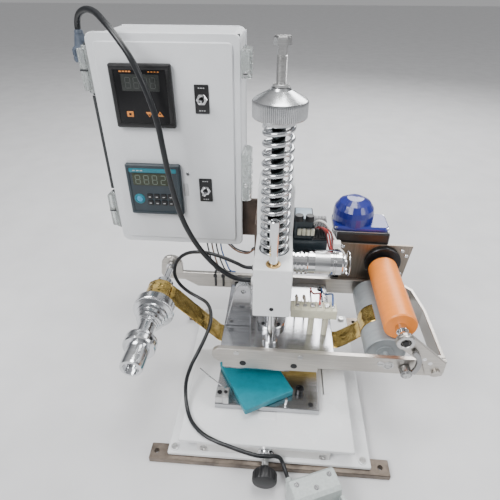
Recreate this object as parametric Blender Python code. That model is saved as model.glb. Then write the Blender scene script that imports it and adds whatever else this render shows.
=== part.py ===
"""Bench hot foil stamper.

A spring-returned ram slides in a white head block on a rear column and carries a heated
platen, two cross bars, a foil supply reel on the left and a foil feed with its motor on the
right. A hinged control box stands at the left rear, and a foot switch lies in front.

Sizes below are in millimetres; MM turns them into metres when a mesh is made. The origin is
on the bench under the middle of the base, +X to the operator's right, +Y to the rear, +Z up.
"""
import math

import bmesh
import bpy
from mathutils import Matrix, Vector

MM = 0.001
GAP = 0.3                 # clearance between pieces that touch

# Base, table and bed
BASE_X, BASE_FRONT, BASE_BACK = 125.0, -155.0, 110.0
FOOT_X, FOOT_W, FOOT_T = 148.0, 21.0, 8.0
BASE_TOP = 14.0
RISER_TOP = 29.7
TABLE_TOP = 36.0
TABLE_FRONT, TABLE_BACK = -150.0, -4.0
BED_TOP = 46.0
PAD_TOP = 56.0
PAD_TURN = math.radians(29.9)
ADJUST_X, ADJUST_Z = -3.0, 22.0

# Head, ram and drive
HEAD_X, HEAD_HALF = -4.0, 22.0
HEAD_FRONT, HEAD_BACK = -69.0, 5.0
HEAD_LOW, HEAD_TOP = 170.0, 239.0
COLUMN_FRONT, COLUMN_BACK, COLUMN_TOP = 5.3, 45.0, 314.0
RAM_Y = -25.0
RAM_STROKE = 23.0
SEAT_Z, CAP_LOW = 232.7, 385.5
SPRING_R, WIRE_R, SPRING_TURNS = 14.2, 2.3, 14.5
ROD_Y, ROD_R, ROD_TOP = -58.0, 5.0, 295.0
GEAR_Y, GEAR_Z = -11.0, 212.0
GEAR_MODULE, GEAR_TEETH = 1.0, 18   # pitch radius 9

# Carriage: everything that rides on the ram
PLATEN_LOW, PLATEN_TOP = 110.0, 118.0
HEATER_LOW = 92.0
DIE_LOW = 81.0
FRONT_BAR_Y, FRONT_BAR_Z = (-81.0, -75.0), (98.0, 124.0)
BACK_BAR_Y, BACK_BAR_Z = (64.0, 70.0), (102.0, 128.0)
REEL_X, REEL_Z = -158.0, 140.0
FEED_X, FEED_Z, FEED_R = 141.0, 112.0, 25.0
PRESS_X, PRESS_Z, PRESS_R = 151.0, 158.5, 20.0
ROLLER_Y = (-62.0, 56.0)
PRESS_PIVOT_X, PRESS_PIVOT_Z = 196.0, 111.0
LEVER_X, LEVER_Z = 161.0, 109.0
WEB_Y, WEB_T = (-28.0, 4.0), 0.6
WEB_Z = 79.7

# Control box
DOOR_X, DOOR_Y, DOOR_Z = (-225.0, -50.0), (62.0, 69.7), (182.0, 454.0)
BOX_X, BOX_Y, BOX_Z = (-222.0, -53.0), (70.0, 170.0), (185.0, 451.0)
BOX_WALL = 3.0
HINGE_X, HINGE_Y = -227.0, 70.0
INSTRUMENTS = ((-164.5, 387.5), (-165.0, 268.5))
BUTTON_X, BUTTON_Z = -187.0, 256.0
TOGGLES = (("toggle_upper", -96.0, 385.0), ("toggle_lower", -98.0, 268.5))
LATCHES = (("latch_upper", 409.0, 439.0), ("latch_lower", 256.0, 322.0))
LATCH_X, LATCH_Y = -46.5, 86.0

# Foot switch, turned on the bench
SWITCH_CORNER = (22.0, -193.0)
SWITCH_TURN = math.radians(22.0)
SWITCH_W, SWITCH_L = 55.0, 95.0
PEDAL_HINGE_L, PEDAL_HINGE_Z = 36.0, 32.0

# Cords: hand-placed points that a smooth curve runs through
MAINS_R = 3.5
MAINS_ROUTE = (
    (-242, 92, 448.8), (-241.8, 91.8, 457), (-235, 85, 468), (-222, 75, 474), (-206, 61, 473),
    (-191, 46, 465), (-177, 35, 453), (-164, 28, 437), (-154, 24, 417), (-146, 22, 394),
    (-140, 21, 368), (-137, 20, 340), (-134, 20, 309), (-129, 20, 275), (-120, 20, 239),
    (-104, 21, 203), (-84, 22, 175), (-62, 23, 156), (-46, 23, 151.2), (-34.9, 23, 151),
)
FOOT_R = 2.5
FOOT_ROUTE = (
    (-32.9, 23, 173), (-43, 23, 173.6), (-54, 24.5, 178), (-71, 27, 184), (-89, 30, 188),
    (-107, 33, 188), (-124, 36.5, 183), (-137, 38, 173), (-145, 37.5, 159), (-146, 34, 145),
    (-139, 29, 133), (-126, 25, 122.5), (-111, 20, 117), (-98, 12, 115), (-90, -1, 111),
    (-88, -19, 105), (-92, -40, 98), (-99, -58, 89), (-107, -72, 76), (-112, -84, 60),
    (-111, -97, 46), (-106, -112, 39.2), (-97, -128, 38.8), (-82, -142, 38.8),
    (-63, -151, 38.6), (-45, -155.5, 36.5), (-27, -159.5, 34.5), (-12, -161.5, 33),
    (0, -160, 31), (8.5, -157, 27), (14.5, -156, 21.5), (18.5, -159.5, 16),
    (21.3, -166.8, 14.2), (24.5, -175.2, 14),
)


# ---------------------------------------------------------------- scene and materials

def clear_scene():
    for obj in list(bpy.data.objects):
        bpy.data.objects.remove(obj, do_unlink=True)


def paint(name, colour, roughness, metallic=0.0):
    material = bpy.data.materials.new(name)
    material.use_nodes = True
    shader = material.node_tree.nodes["Principled BSDF"]
    shader.inputs["Base Color"].default_value = (*colour, 1.0)
    shader.inputs["Roughness"].default_value = roughness
    shader.inputs["Metallic"].default_value = metallic
    return material


# ---------------------------------------------------------------- shape helpers

def shape_from(bm, smooth_angle=32.0):
    """Turn a bmesh in millimetres into an unnamed object in metres."""
    bmesh.ops.recalc_face_normals(bm, faces=bm.faces)
    bmesh.ops.scale(bm, vec=(MM, MM, MM), verts=bm.verts)
    mesh = bpy.data.meshes.new("shape")
    bm.to_mesh(mesh)
    bm.free()
    mesh.shade_smooth()
    mesh.set_sharp_from_angle(angle=math.radians(smooth_angle))
    obj = bpy.data.objects.new("shape", mesh)
    bpy.context.scene.collection.objects.link(obj)
    return obj


def block(x, y, z, bevel=0.0, segments=1):
    """A box between two limits on each axis, with its edges bevelled."""
    bm = bmesh.new()
    bmesh.ops.create_cube(bm, size=1.0)
    size = Vector((x[1] - x[0], y[1] - y[0], z[1] - z[0]))
    middle = Vector((x[0] + x[1], y[0] + y[1], z[0] + z[1])) / 2
    for vert in bm.verts:
        vert.co = Vector((vert.co.x * size.x, vert.co.y * size.y, vert.co.z * size.z)) + middle
    if bevel:
        bmesh.ops.bevel(bm, geom=bm.edges[:], offset=bevel, segments=segments, affect="EDGES",
                        profile=0.5)
    return shape_from(bm)


def axis_frame(axis):
    """Rotation that takes the local Z axis to a named world axis."""
    return {"X": Matrix.Rotation(math.radians(90), 4, "Y"),
            "Y": Matrix.Rotation(math.radians(-90), 4, "X"),
            "Z": Matrix.Identity(4)}[axis]


def turned(profile, centre, axis="Z", segments=32):
    """Revolve (radius, height) points about an axis through centre.

    A profile that starts and ends at radius 0 is solid; any other one is a closed ring.
    """
    bm = bmesh.new()
    rings = []
    for radius, height in profile:
        if radius < 1e-6:
            rings.append([bm.verts.new((0, 0, height))])
        else:
            steps = [2 * math.pi * i / segments for i in range(segments)]
            rings.append([bm.verts.new((radius * math.cos(a), radius * math.sin(a), height))
                          for a in steps])
    pairs = list(zip(rings, rings[1:]))
    if len(rings[0]) > 1:
        pairs.append((rings[-1], rings[0]))
    for lower, upper in pairs:
        for i in range(segments):
            j = (i + 1) % segments
            loop = [lower[i % len(lower)], lower[j % len(lower)],
                    upper[j % len(upper)], upper[i % len(upper)]]
            loop = list(dict.fromkeys(loop))
            if len(loop) > 2:
                bm.faces.new(loop)
    bm.transform(Matrix.Translation(Vector(centre)) @ axis_frame(axis))
    return shape_from(bm)


def rod(centre, radius, length, axis="Z", segments=24, chamfer=0.0):
    """A cylinder that starts at centre and runs along +axis, with chamfered ends."""
    profile = [(0, 0), (radius - chamfer, 0), (radius, chamfer)]
    profile += [(radius, length - chamfer), (radius - chamfer, length), (0, length)]
    if not chamfer:
        profile = [(0, 0), (radius, 0), (radius, length), (0, length)]
    return turned(profile, centre, axis, segments)


def sleeve(centre, inner, outer, length, axis="Z", segments=32):
    """A plain tube with a bore."""
    return turned([(inner, 0), (outer, 0), (outer, length), (inner, length)],
                  centre, axis, segments)


def plate(outline, plane, limits, bevel=0.0):
    """Extrude a 2D outline: plane XY, XZ or YZ, between two limits on the third axis."""
    place = {"XY": lambda u, v, w: (u, v, w), "XZ": lambda u, v, w: (u, w, v),
             "YZ": lambda u, v, w: (w, u, v)}[plane]
    bm = bmesh.new()
    near = [bm.verts.new(place(u, v, limits[0])) for u, v in outline]
    far = [bm.verts.new(place(u, v, limits[1])) for u, v in outline]
    bm.faces.new(near)
    bm.faces.new(list(reversed(far)))
    for i in range(len(near)):
        j = (i + 1) % len(near)
        bm.faces.new((near[i], near[j], far[j], far[i]))
    bmesh.ops.recalc_face_normals(bm, faces=bm.faces)
    if bevel:
        rims = [e for e in bm.edges if len({v in near for v in e.verts}) == 1]
        bmesh.ops.bevel(bm, geom=rims, offset=bevel, segments=1, affect="EDGES", profile=0.5)
    return shape_from(bm)


def arc(centre, radius, start, end, steps):
    """Points on an arc, angles in degrees."""
    angles = [math.radians(start + (end - start) * i / steps) for i in range(steps + 1)]
    return [(centre[0] + radius * math.cos(a), centre[1] + radius * math.sin(a))
            for a in angles]


def rounded(u, v, radius, steps=3):
    """Outline of a rectangle with rounded corners."""
    points = []
    corners = ((u[1], v[0], -90), (u[1], v[1], 0), (u[0], v[1], 90), (u[0], v[0], 180))
    for cu, cv, start in corners:
        inner = (cu + (radius if cu == u[0] else -radius),
                 cv + (radius if cv == v[0] else -radius))
        points += arc(inner, radius, start, start + 90, steps)
    return points


def combine(target, tools, operation):
    """Apply one Boolean per tool to the target's mesh and remove the tools."""
    for tool in tools:
        modifier = target.modifiers.new("combine", "BOOLEAN")
        modifier.operation = operation
        modifier.solver = "EXACT"
        modifier.object = tool
        bpy.context.view_layer.update()
        evaluated = target.evaluated_get(bpy.context.evaluated_depsgraph_get())
        mesh = bpy.data.meshes.new_from_object(evaluated)
        target.modifiers.clear()
        target.data = mesh
        bpy.data.objects.remove(tool, do_unlink=True)
    target.data.shade_smooth()
    target.data.set_sharp_from_angle(angle=math.radians(32))
    return target


def weld(target, *tools):
    return combine(target, tools, "UNION")


def cut(target, *tools):
    return combine(target, tools, "DIFFERENCE")


def axis_at(name, x, y, z, parent=None):
    """An empty on a joint's axis, in millimetres."""
    empty = bpy.data.objects.new(name, None)
    bpy.context.scene.collection.objects.link(empty)
    world = Vector((x, y, z)) * MM
    empty["world"] = list(world)
    if parent:
        empty.parent = parent
        world = world - Vector(parent["world"])
    empty.location = world
    return empty


def finish(name, shape, material, on=None):
    """Name a shape, paint it, and hang it on its joint's empty."""
    shape.name = name
    shape.data.name = name
    shape.data.materials.clear()
    shape.data.materials.append(material)
    if on:
        shape.data.transform(Matrix.Translation(-Vector(on["world"])))
        shape.parent = on
    return shape


# ---------------------------------------------------------------- base, table and bed

def make_base():
    bars = {"foot_bar_front": BASE_FRONT + 4.5, "foot_bar_rear": BASE_BACK - 8}
    sheet = block((-BASE_X, BASE_X), (BASE_FRONT, BASE_BACK), (FOOT_T + GAP, BASE_TOP), 1.0)
    between = (bars["foot_bar_front"] + FOOT_W / 2 + 0.5, bars["foot_bar_rear"] - FOOT_W / 2 - 0.5)
    sole = block((5 - BASE_X, BASE_X - 5), between, (0, FOOT_T + 1), 0.5)
    screws = [rod((x, y, BASE_TOP - 1), 5.0, 3.5, segments=16)
              for x in (-117, 115) for y in (-148, 100)]
    finish("base_plate", weld(sheet, sole, *screws), WHITE_ENAMEL)
    for name, middle in bars.items():
        span = (middle - FOOT_W / 2, middle + FOOT_W / 2)
        bar = block((-FOOT_X, FOOT_X), span, (0, FOOT_T), 0.8)
        holes = [rod((x, middle, -1), 3.3, FOOT_T + 2, segments=16) for x in (-140, 137)]
        finish(name, cut(bar, *holes), DARK_STEEL)


def make_table():
    pocket_x, pocket_y = (ADJUST_X - 11, ADJUST_X + 11), (-115, -70)
    riser = block((-88, 75), (TABLE_FRONT, TABLE_BACK), (BASE_TOP + GAP, RISER_TOP), 0.6)
    screw_way = rod((ADJUST_X, TABLE_FRONT - 1, ADJUST_Z), 4.5, 92, "Y", 16)
    bolt_holes = [rod((x, TABLE_FRONT - 1, ADJUST_Z), 3.0, 9, "Y", 12) for x in (-80, 66)]
    pocket = block(pocket_x, pocket_y, (16.5, RISER_TOP + 2))
    finish("table_riser", cut(riser, screw_way, pocket, *bolt_holes), WARM_WHITE)
    top = block((-110, 103), (TABLE_FRONT - 0.5, TABLE_BACK), (RISER_TOP + GAP, TABLE_TOP), 0.8)
    slot = block((70, 72.4), (-72, -17), (RISER_TOP, TABLE_TOP + 1))
    well = block(pocket_x, pocket_y, (RISER_TOP, TABLE_TOP + 1))
    finish("table_plate", cut(top, slot, well), WHITE_ENAMEL)


def make_bed():
    low = TABLE_TOP + GAP
    slide = block((-72, 63), (-104, -14), (low, BED_TOP), 0.8)
    lug = block((ADJUST_X - 8, ADJUST_X + 8), (-100, -85), (17.5, low + 1))
    thread = rod((ADJUST_X, -101, ADJUST_Z), 4.3, 17, "Y", 20)
    finish("bed_plate", cut(weld(slide, lug), thread), POLISHED_STEEL, BED_AXIS)
    pad = plate(rounded((0, 70), (0, 85), 2.0), "XY", (BED_TOP + GAP, PAD_TOP), 0.8)
    turn = Matrix.Translation(Vector((-31, -118, 0)) * MM) @ Matrix.Rotation(PAD_TURN, 4, "Z")
    pad.data.transform(turn)
    finish("stamping_pad", pad, TEAL_SILICONE, BED_AXIS)
    screw = turned([(0, 0), (5.6, 0), (5.6, 7.5), (4.8, 8.3), (2.8, 8.3), (2.8, 5), (0, 5)],
                   (38, -78, BED_TOP + GAP), "Z", 24)
    finish("bed_screw", screw, BLACK_STEEL, BED_AXIS)
    pin = rod((20, -99, BED_TOP + GAP), 2.0, 13, "Z", 20, 0.5)
    finish("stop_pin", pin, CHROME, BED_AXIS)
    clamp = block((-71, -61.5), (-103, -86), (BED_TOP + GAP, 57), 0.6)
    cheek = block((-62, -53.5), (-104, -88), (BED_TOP + GAP, 60), 0.8)
    finish("side_clamp", weld(clamp, cheek), BRUSHED_STEEL, BED_AXIS)
    grip = [(0, -10), (12, -10), (14.5, -7.5), (14.5, 1), (12.5, 3.5), (7.5, 4.5), (7, 8),
            (4.0, 9), (4.0, 112), (0, 112)]
    knob = turned(grip, (ADJUST_X, -178, ADJUST_Z), "Y", 32)
    finish("adjuster_knob", knob, BLACK_PLASTIC, ADJUST_AXIS)


# ---------------------------------------------------------------- column, head and drive

def make_column():
    x = (HEAD_X - HEAD_HALF, HEAD_X + HEAD_HALF)
    shoulder = 16.0
    outline = [(x[0], BASE_TOP + GAP), (x[1], BASE_TOP + GAP)]
    outline += arc((x[1] - shoulder, COLUMN_TOP - shoulder), shoulder, 0, 90, 6)
    outline += arc((x[0] + shoulder, COLUMN_TOP - shoulder), shoulder, 90, 180, 6)
    post = plate(outline, "XZ", (COLUMN_FRONT, COLUMN_BACK), 1.2)
    flange = block((x[0] - 22, x[1] + 22), (6, 62), (BASE_TOP + GAP, 24), 1.0)
    bolts = [rod((bx, 52, 23), 5, 6, segments=6) for bx in (x[0] - 12, x[1] + 12)]
    entries = [rod((MAINS_ROUTE[-1][0] + 2 * GAP, 23, 151), 6.0, 10, "X", 20, 0.8),
               rod((FOOT_ROUTE[0][0] + 2 * GAP, 23, 173), 4.5, 8, "X", 20, 0.8)]
    finish("rear_column", weld(post, flange, *bolts, *entries), WHITE_ENAMEL)


def make_head():
    x = (HEAD_X - HEAD_HALF, HEAD_X + HEAD_HALF)
    head = block(x, (HEAD_FRONT, HEAD_BACK), (HEAD_LOW, HEAD_TOP), 1.0)
    low, high = HEAD_LOW - 1, HEAD_TOP + 1
    bush_top, seat = HEAD_LOW + 28.5, SEAT_Z - GAP
    ram_way = turned([(0, low), (12.3, low), (12.3, bush_top), (9.6, bush_top), (9.6, seat),
                      (18, seat), (18, high), (0, high)], (HEAD_X, RAM_Y, 0), "Z", 32)
    rod_way = rod((HEAD_X, ROD_Y, low), 7.3, high - low, segments=24)
    gear_way = turned([(0, -6.5), (11, -6.5), (11, 6.5), (4.8, 6.5), (4.8, 30), (0, 30)],
                      (HEAD_X, GEAR_Y, GEAR_Z), "X", 28)
    cut(head, ram_way, rod_way, gear_way)
    finish("head_block", head, WHITE_ENAMEL)
    bush = sleeve((HEAD_X, RAM_Y, HEAD_LOW + 1), 9.3, 12.0, 27, "Z", 32)
    finish("ram_bush", bush, BRONZE)
    guide = sleeve((HEAD_X, ROD_Y, HEAD_LOW + 1), ROD_R + 0.3, 7.0, 67, "Z", 24)
    finish("guide_bush", guide, BRONZE)


def make_drive():
    """Motor beside the head whose pinion drives a rack on the back of the ram."""
    side = HEAD_X + HEAD_HALF + GAP
    profile = [(4.4, 0), (16, 0), (16, 2.5)]
    for i in range(3):
        start = 3.4 + 5.0 * i
        profile += [(13.6, start), (13.6, start + 2.0), (16, start + 2.2), (16, start + 4.8)]
    profile += [(15, 19.5), (15, 60), (13, 62), (13, 64), (5, 64), (5, 66.5), (0, 66.5)]
    motor = turned([(0, 7), (4.4, 7)] + profile, (side, GEAR_Y, GEAR_Z), "X", 24)
    finish("drive_motor", motor, CHROME)
    finish("drive_pinion", make_pinion(side), DARK_STEEL, PINION_AXIS)


def make_pinion(side):
    """Spur gear with one tooth pointing at the rack, and its shaft to the motor."""
    outline = []
    tooth = 2 * math.pi / GEAR_TEETH
    for i in range(GEAR_TEETH):
        middle = math.pi + i * tooth
        for turn, radius in ((-0.27, 7.7), (-0.095, 9.85), (0.095, 9.85), (0.27, 7.7)):
            angle = middle + turn * tooth * 0.9
            outline.append((GEAR_Y + radius * math.cos(angle), GEAR_Z + radius * math.sin(angle)))
    gear = plate(outline, "YZ", (HEAD_X - 5, HEAD_X + 5))
    shaft = rod((HEAD_X - 5.5, GEAR_Y, GEAR_Z), 4.0, side - HEAD_X + 11.5, "X", 20)
    return weld(gear, shaft)


def make_relay():
    side = HEAD_X + HEAD_HALF + GAP
    base = block((side, 62), (8, 48), (200, 230), 1.0)
    body = block((side + 1, 43), (12, 46), (229, 257), 1.2)
    finish("relay_unit", weld(base, body), DARK_PLASTIC)


# ---------------------------------------------------------------- ram and its spring

def make_ram():
    foot = PLATEN_TOP + GAP
    profile = [(0, foot), (9, foot), (9, 285), (7, 287), (7, 418.0), (0, 418.0)]
    shaft = turned(profile, (HEAD_X, RAM_Y, 0), "Z", 32)
    tip = RAM_Y + 6.0
    pitch = math.pi * GEAR_MODULE
    rack_low, rack_high = GEAR_Z - 9.5, GEAR_Z + RAM_STROKE + 9.5
    x = (HEAD_X - 12, HEAD_X + 12)
    flat = block(x, (tip, tip + 6), (rack_low, rack_high))
    outline = [(tip + 1, rack_low + 1), (tip + 1, rack_high - 1)]
    count = int(RAM_STROKE / pitch) + 3
    for i in reversed(range(-1, count)):
        z = GEAR_Z + i * pitch
        outline += [(tip - 0.01, z + 1.3), (tip - 2.4, z + 0.5)]
        outline += [(tip - 2.4, z - 0.5), (tip - 0.01, z - 1.3)]
    teeth = plate(outline, "YZ", x)
    finish("ram_shaft", cut(shaft, flat, teeth), CHROME, RAM_AXIS)


def make_cap():
    """Knurled adjusting nut above the spring, with its cone, and the bolt through it."""
    ridges = 24
    outline = []
    for i in range(ridges * 2):
        radius = 27.0 if i % 2 else 26.1
        angle = math.pi * i / ridges
        outline.append((HEAD_X + radius * math.cos(angle), RAM_Y + radius * math.sin(angle)))
    knurl = plate(outline, "XY", (CAP_LOW + 8, 408), 0.6)
    skirt = rod((HEAD_X, RAM_Y, CAP_LOW), 21.0, 9, segments=40, chamfer=1.0)
    cone = turned([(0, 407), (25.6, 407), (25, 409), (9.5, 416.5), (9.5, 419.5), (0, 419.5)],
                  (HEAD_X, RAM_Y, 0), "Z", 40)
    bore = rod((HEAD_X, RAM_Y, CAP_LOW - 1), 7.3, 40, segments=24)
    finish("knurled_cap", cut(weld(knurl, skirt, cone), bore), KNURLED_STEEL, CAP_AXIS)
    shank = rod((HEAD_X, RAM_Y, 418.3), 4.3, 37, segments=20)
    collar = rod((HEAD_X, RAM_Y, 418.3 + 1.6), 8.0, 3.0, segments=24, chamfer=0.5)
    hexagon = turned([(0, 455), (8.3, 455), (8.3, 461), (7.2, 462.5), (0, 462.5)],
                     (HEAD_X, RAM_Y, 0), "Z", 6)
    finish("stop_bolt", weld(shank, collar, hexagon), BRUSHED_STEEL, RAM_AXIS)


def make_spring():
    """Return spring as a helix whose end turns lie flatter than the rest."""
    low, high = SEAT_Z + WIRE_R, CAP_LOW - GAP - WIRE_R
    steps_per_turn, sides = 12, 5
    steps = int(SPRING_TURNS * steps_per_turn)
    dead = 0.9
    bm = bmesh.new()
    rings = []
    for i in range(steps + 1):
        turn = SPRING_TURNS * i / steps
        eased = min(max(turn - dead * 0.5, 0.0), SPRING_TURNS - dead) / (SPRING_TURNS - dead)
        angle = 2 * math.pi * turn
        centre = Vector((HEAD_X + SPRING_R * math.cos(angle), RAM_Y + SPRING_R * math.sin(angle),
                         low + (high - low) * eased))
        outward = Vector((math.cos(angle), math.sin(angle), 0))
        rings.append([bm.verts.new(centre + WIRE_R * (outward * math.cos(a)
                                                      + Vector((0, 0, math.sin(a)))))
                      for a in (2 * math.pi * (k + 0.5) / sides for k in range(sides))])
    for lower, upper in zip(rings, rings[1:]):
        for k in range(sides):
            m = (k + 1) % sides
            bm.faces.new((lower[k], lower[m], upper[m], upper[k]))
    bm.faces.new(list(reversed(rings[0])))
    bm.faces.new(rings[-1])
    finish("return_spring", shape_from(bm, 60), CHROME, RAM_AXIS)


# ---------------------------------------------------------------- carriage

def make_platen():
    slab = block((-66, 76), (-74.5, 63.7), (PLATEN_LOW, PLATEN_TOP), 0.6)
    reach = HEAD_HALF + 3
    window = block((HEAD_X - reach, HEAD_X + reach), (COLUMN_FRONT - 2.5, COLUMN_BACK + 3),
                   (PLATEN_LOW - 1, PLATEN_TOP + 1))
    finish("platen", cut(slab, window), POLISHED_STEEL, RAM_AXIS)
    guide = rod((HEAD_X, ROD_Y, PLATEN_TOP + GAP), ROD_R, ROD_TOP - PLATEN_TOP - GAP, "Z", 24, 0.8)
    finish("guide_rod", guide, CHROME, RAM_AXIS)
    heater = block((-62, 54), (-74.5, -4), (HEATER_LOW, PLATEN_LOW - GAP), 0.6)
    bores = [rod((x, -75.5, 100), 4.3, 63, "Y", 20) for x in (-37, 27)]
    finish("heater_block", cut(heater, *bores), ALUMINIUM, RAM_AXIS)
    for name, x in (("heater_left", -37), ("heater_right", 27)):
        cartridge = rod((x, -76.5, 100), 4.0, 60, "Y", 20, 0.5)
        finish(name, cartridge, BLACK_STEEL, RAM_AXIS)
    die = block((-62, 22), (-74.5, -6), (DIE_LOW, HEATER_LOW - GAP), 0.6)
    finish("die_plate", die, POLISHED_STEEL, RAM_AXIS)


def make_bars():
    low, high = FRONT_BAR_Z
    outline = [(-63, 91), (57, 91), (57, low), (206, low), (208, low + 2), (208, high), (-67, high)]
    outline += arc((-65, high - 11), 11, 90, 240, 6)[1:]
    outline += [(-63, low + 1)]
    bar = plate(outline, "XZ", FRONT_BAR_Y, 0.5)
    y = FRONT_BAR_Y[0] - 1
    holes = [rod((x, y, 100), 4.4, 9, "Y", 20) for x in (-37, 27)]
    holes += [rod((FEED_X, y, FEED_Z), 4.4, 9, "Y", 20), rod((201, y, 102.5), 2.2, 9, "Y", 14)]
    finish("front_bar", cut(bar, *holes), SATIN_STEEL, RAM_AXIS)
    low, high = BACK_BAR_Z
    outline = [(-172, low + 12), (-140, low + 12), (-120, low), (186, low), (186, high)]
    outline += [(-142, high)]
    outline += arc((REEL_X, REEL_Z), 16, 0, 180, 8)
    outline += [(-176, high - 4)]
    bar = plate(outline, "XZ", BACK_BAR_Y, 0.5)
    holes = [rod((FEED_X, BACK_BAR_Y[0] - 1, FEED_Z), 4.4, 9, "Y", 20),
             rod((REEL_X, BACK_BAR_Y[0] - 1, REEL_Z), 4.4, 9, "Y", 20)]
    finish("back_bar", cut(bar, *holes), SATIN_STEEL, RAM_AXIS)


def make_frames():
    foot = PLATEN_TOP + GAP
    outline = [(-64, foot), (-31, foot), (-31, 180), (-34, 186), (-46, 186), (-50, 180), (-54, 162)]
    rib = plate(outline, "XZ", (-34, -25), 0.5)
    holes = [rod((-40, -35, 177), 3.2, 12, "Y", 16), rod((-56, -35, 126), 3.0, 12, "Y", 16)]
    slot = block((-45, -38), (-35, -24), (150, 154))
    finish("side_rib", cut(rib, slot, *holes), POLISHED_STEEL, RAM_AXIS)
    board = block((20, 77), (-47, -30), (150, 164), 0.8)
    posts = [rod((x, -39, foot), 4.0, 33, segments=16) for x in (47, 65)]
    finish("terminal_board", weld(board, *posts), CREAM, RAM_AXIS)
    outline = [(172, 63.7), (192, 63.7), (201, 55), (208, 10), (208, -74.7), (203.5, -74.7),
               (203.5, 9), (197, 51), (190, 59.2), (172, 59.2)]
    strip = plate(list(reversed(outline)), "XY", (FRONT_BAR_Z[0], FRONT_BAR_Z[1]), 0.5)
    lug = block((190, 208), (-74.7, -70.5), FRONT_BAR_Z, 0.4)
    finish("end_bracket", weld(strip, lug), SATIN_STEEL, RAM_AXIS)


def make_reel():
    spindle = turned([(0, 0), (5.2, 0), (5.2, 4), (4, 4), (4, 11), (7, 11), (7, 16), (5, 16),
                      (5, 200), (0, 200)], (REEL_X, BACK_BAR_Y[1] + 4, REEL_Z), "Y", 24)
    spindle.data.transform(mirror_y(BACK_BAR_Y[1] + 4))
    finish("reel_spindle", spindle, CHROME, RAM_AXIS)
    profile = [(5.4, 20), (12.4, 20), (12.4, -29), (27, -29), (27, -41), (25.5, -43), (21, -45),
               (20.5, -50), (18.5, -51), (18, -56), (16, -57), (15.5, -61), (13.5, -62),
               (11.5, -66), (11, -87), (19, -90), (20, -92), (20, -102), (18.6, -104),
               (13.5, -104.5), (13.5, -132), (12.5, -134), (9, -134), (9, -130), (5.4, -130)]
    reel = turned(profile, (REEL_X, 0, REEL_Z), "Y", 24)
    finish("supply_reel", reel, ALUMINIUM, REEL_AXIS)
    roll = sleeve((REEL_X, -28.6, REEL_Z), 12.8, 19.6, 34, "Y", 32)
    finish("foil_roll", roll, GOLD_FOIL, REEL_AXIS)


def mirror_y(about):
    """Mirror that flips a shape in Y about a plane, keeping its faces outward."""
    middle = Vector((REEL_X, about, REEL_Z)) * MM
    turn = Matrix.Rotation(math.pi, 4, "Z")
    return Matrix.Translation(middle) @ turn @ Matrix.Translation(-middle)


def web_outline():
    """Closed outline of the foil from the reel, under the die and up round the roller."""
    half = WEB_T / 2
    reel_side = (REEL_X + 17.8, REEL_Z + 10.4)
    lane = WEB_Z + half
    centre = [reel_side, (-76, lane + 2.2), (-70, lane), (84, lane), (90, lane + 1.0)]
    wrap = arc((FEED_X, FEED_Z), FEED_R + 0.8, 198, 112, 8)
    centre += wrap
    left, right = [], []
    for i, (x, z) in enumerate(centre):
        before, after = centre[max(i - 1, 0)], centre[min(i + 1, len(centre) - 1)]
        along = Vector((after[0] - before[0], after[1] - before[1])).normalized()
        left.append((x - along.y * half, z + along.x * half))
        right.append((x + along.y * half, z - along.x * half))
    return left + list(reversed(right))


def make_feed():
    finish("foil_web", plate(web_outline(), "XZ", WEB_Y), GOLD_FOIL, RAM_AXIS)
    length = ROLLER_Y[1] - ROLLER_Y[0]
    front, rear = FRONT_BAR_Y[0] + 0.5 - ROLLER_Y[0], 84.0 - ROLLER_Y[0]
    profile = [(0, front), (4, front), (4, 0), (24, 0), (FEED_R, 1), (FEED_R, length - 1),
               (24, length), (4, length), (4, rear), (0, rear)]
    roller = turned(profile, (FEED_X, ROLLER_Y[0], FEED_Z), "Y", 32)
    finish("feed_roller", roller, GREY_RUBBER, FEED_AXIS)
    front = -83.5 - ROLLER_Y[0]
    profile = [(0, front), (4, front), (4, 0), (19, 0), (PRESS_R, 1), (PRESS_R, length - 1),
               (19, length), (6, length), (6, length + 5), (0, length + 5)]
    roller = turned(profile, (PRESS_X, ROLLER_Y[0], PRESS_Z), "Y", 32)
    finish("pressure_roller", roller, ORANGE_RUBBER, PRESS_AXIS)
    finish("pressure_arm", make_pressure_arm(), SATIN_STEEL, ARM_AXIS)
    finish("release_lever", make_lever(), CHROME, LEVER_AXIS)


def make_pressure_arm():
    y = (-85.7, -81.3)
    outline = arc((PRESS_X, PRESS_Z), 11, 45, 225, 8)
    outline += [(178, 124), (185, 104)]
    outline += arc((PRESS_PIVOT_X, PRESS_PIVOT_Z), 9.5, 225, 360, 6)
    outline += [(205, 126)]
    arm = plate(outline, "XZ", y, 0.4)
    axle_hole = rod((PRESS_X, -87, PRESS_Z), 4.3, 8, "Y", 20)
    pivot = rod((PRESS_PIVOT_X, -89, PRESS_PIVOT_Z), 5, 4, "Y", 20, 0.6)
    ring = sleeve((PRESS_X, -88, PRESS_Z), 4.3, 10.5, 3, "Y", 28)
    return cut(weld(arm, pivot, ring), axle_hole)


def make_lever():
    """Curved cam lever: a boss on the bar, and a bowed arm up to its tip."""
    y = (-91, -87)
    outer = arc((LEVER_X - 16, LEVER_Z + 16.5), 30, -33, 52, 9)
    inner = list(reversed(arc((LEVER_X - 14.5, LEVER_Z + 17), 22.5, -36, 50, 9)))
    strip = plate(outer + inner, "XZ", y, 0.5)
    boss = rod((LEVER_X, -91.5, LEVER_Z), 7, 10, "Y", 24, 0.6)
    return weld(strip, boss)


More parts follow.
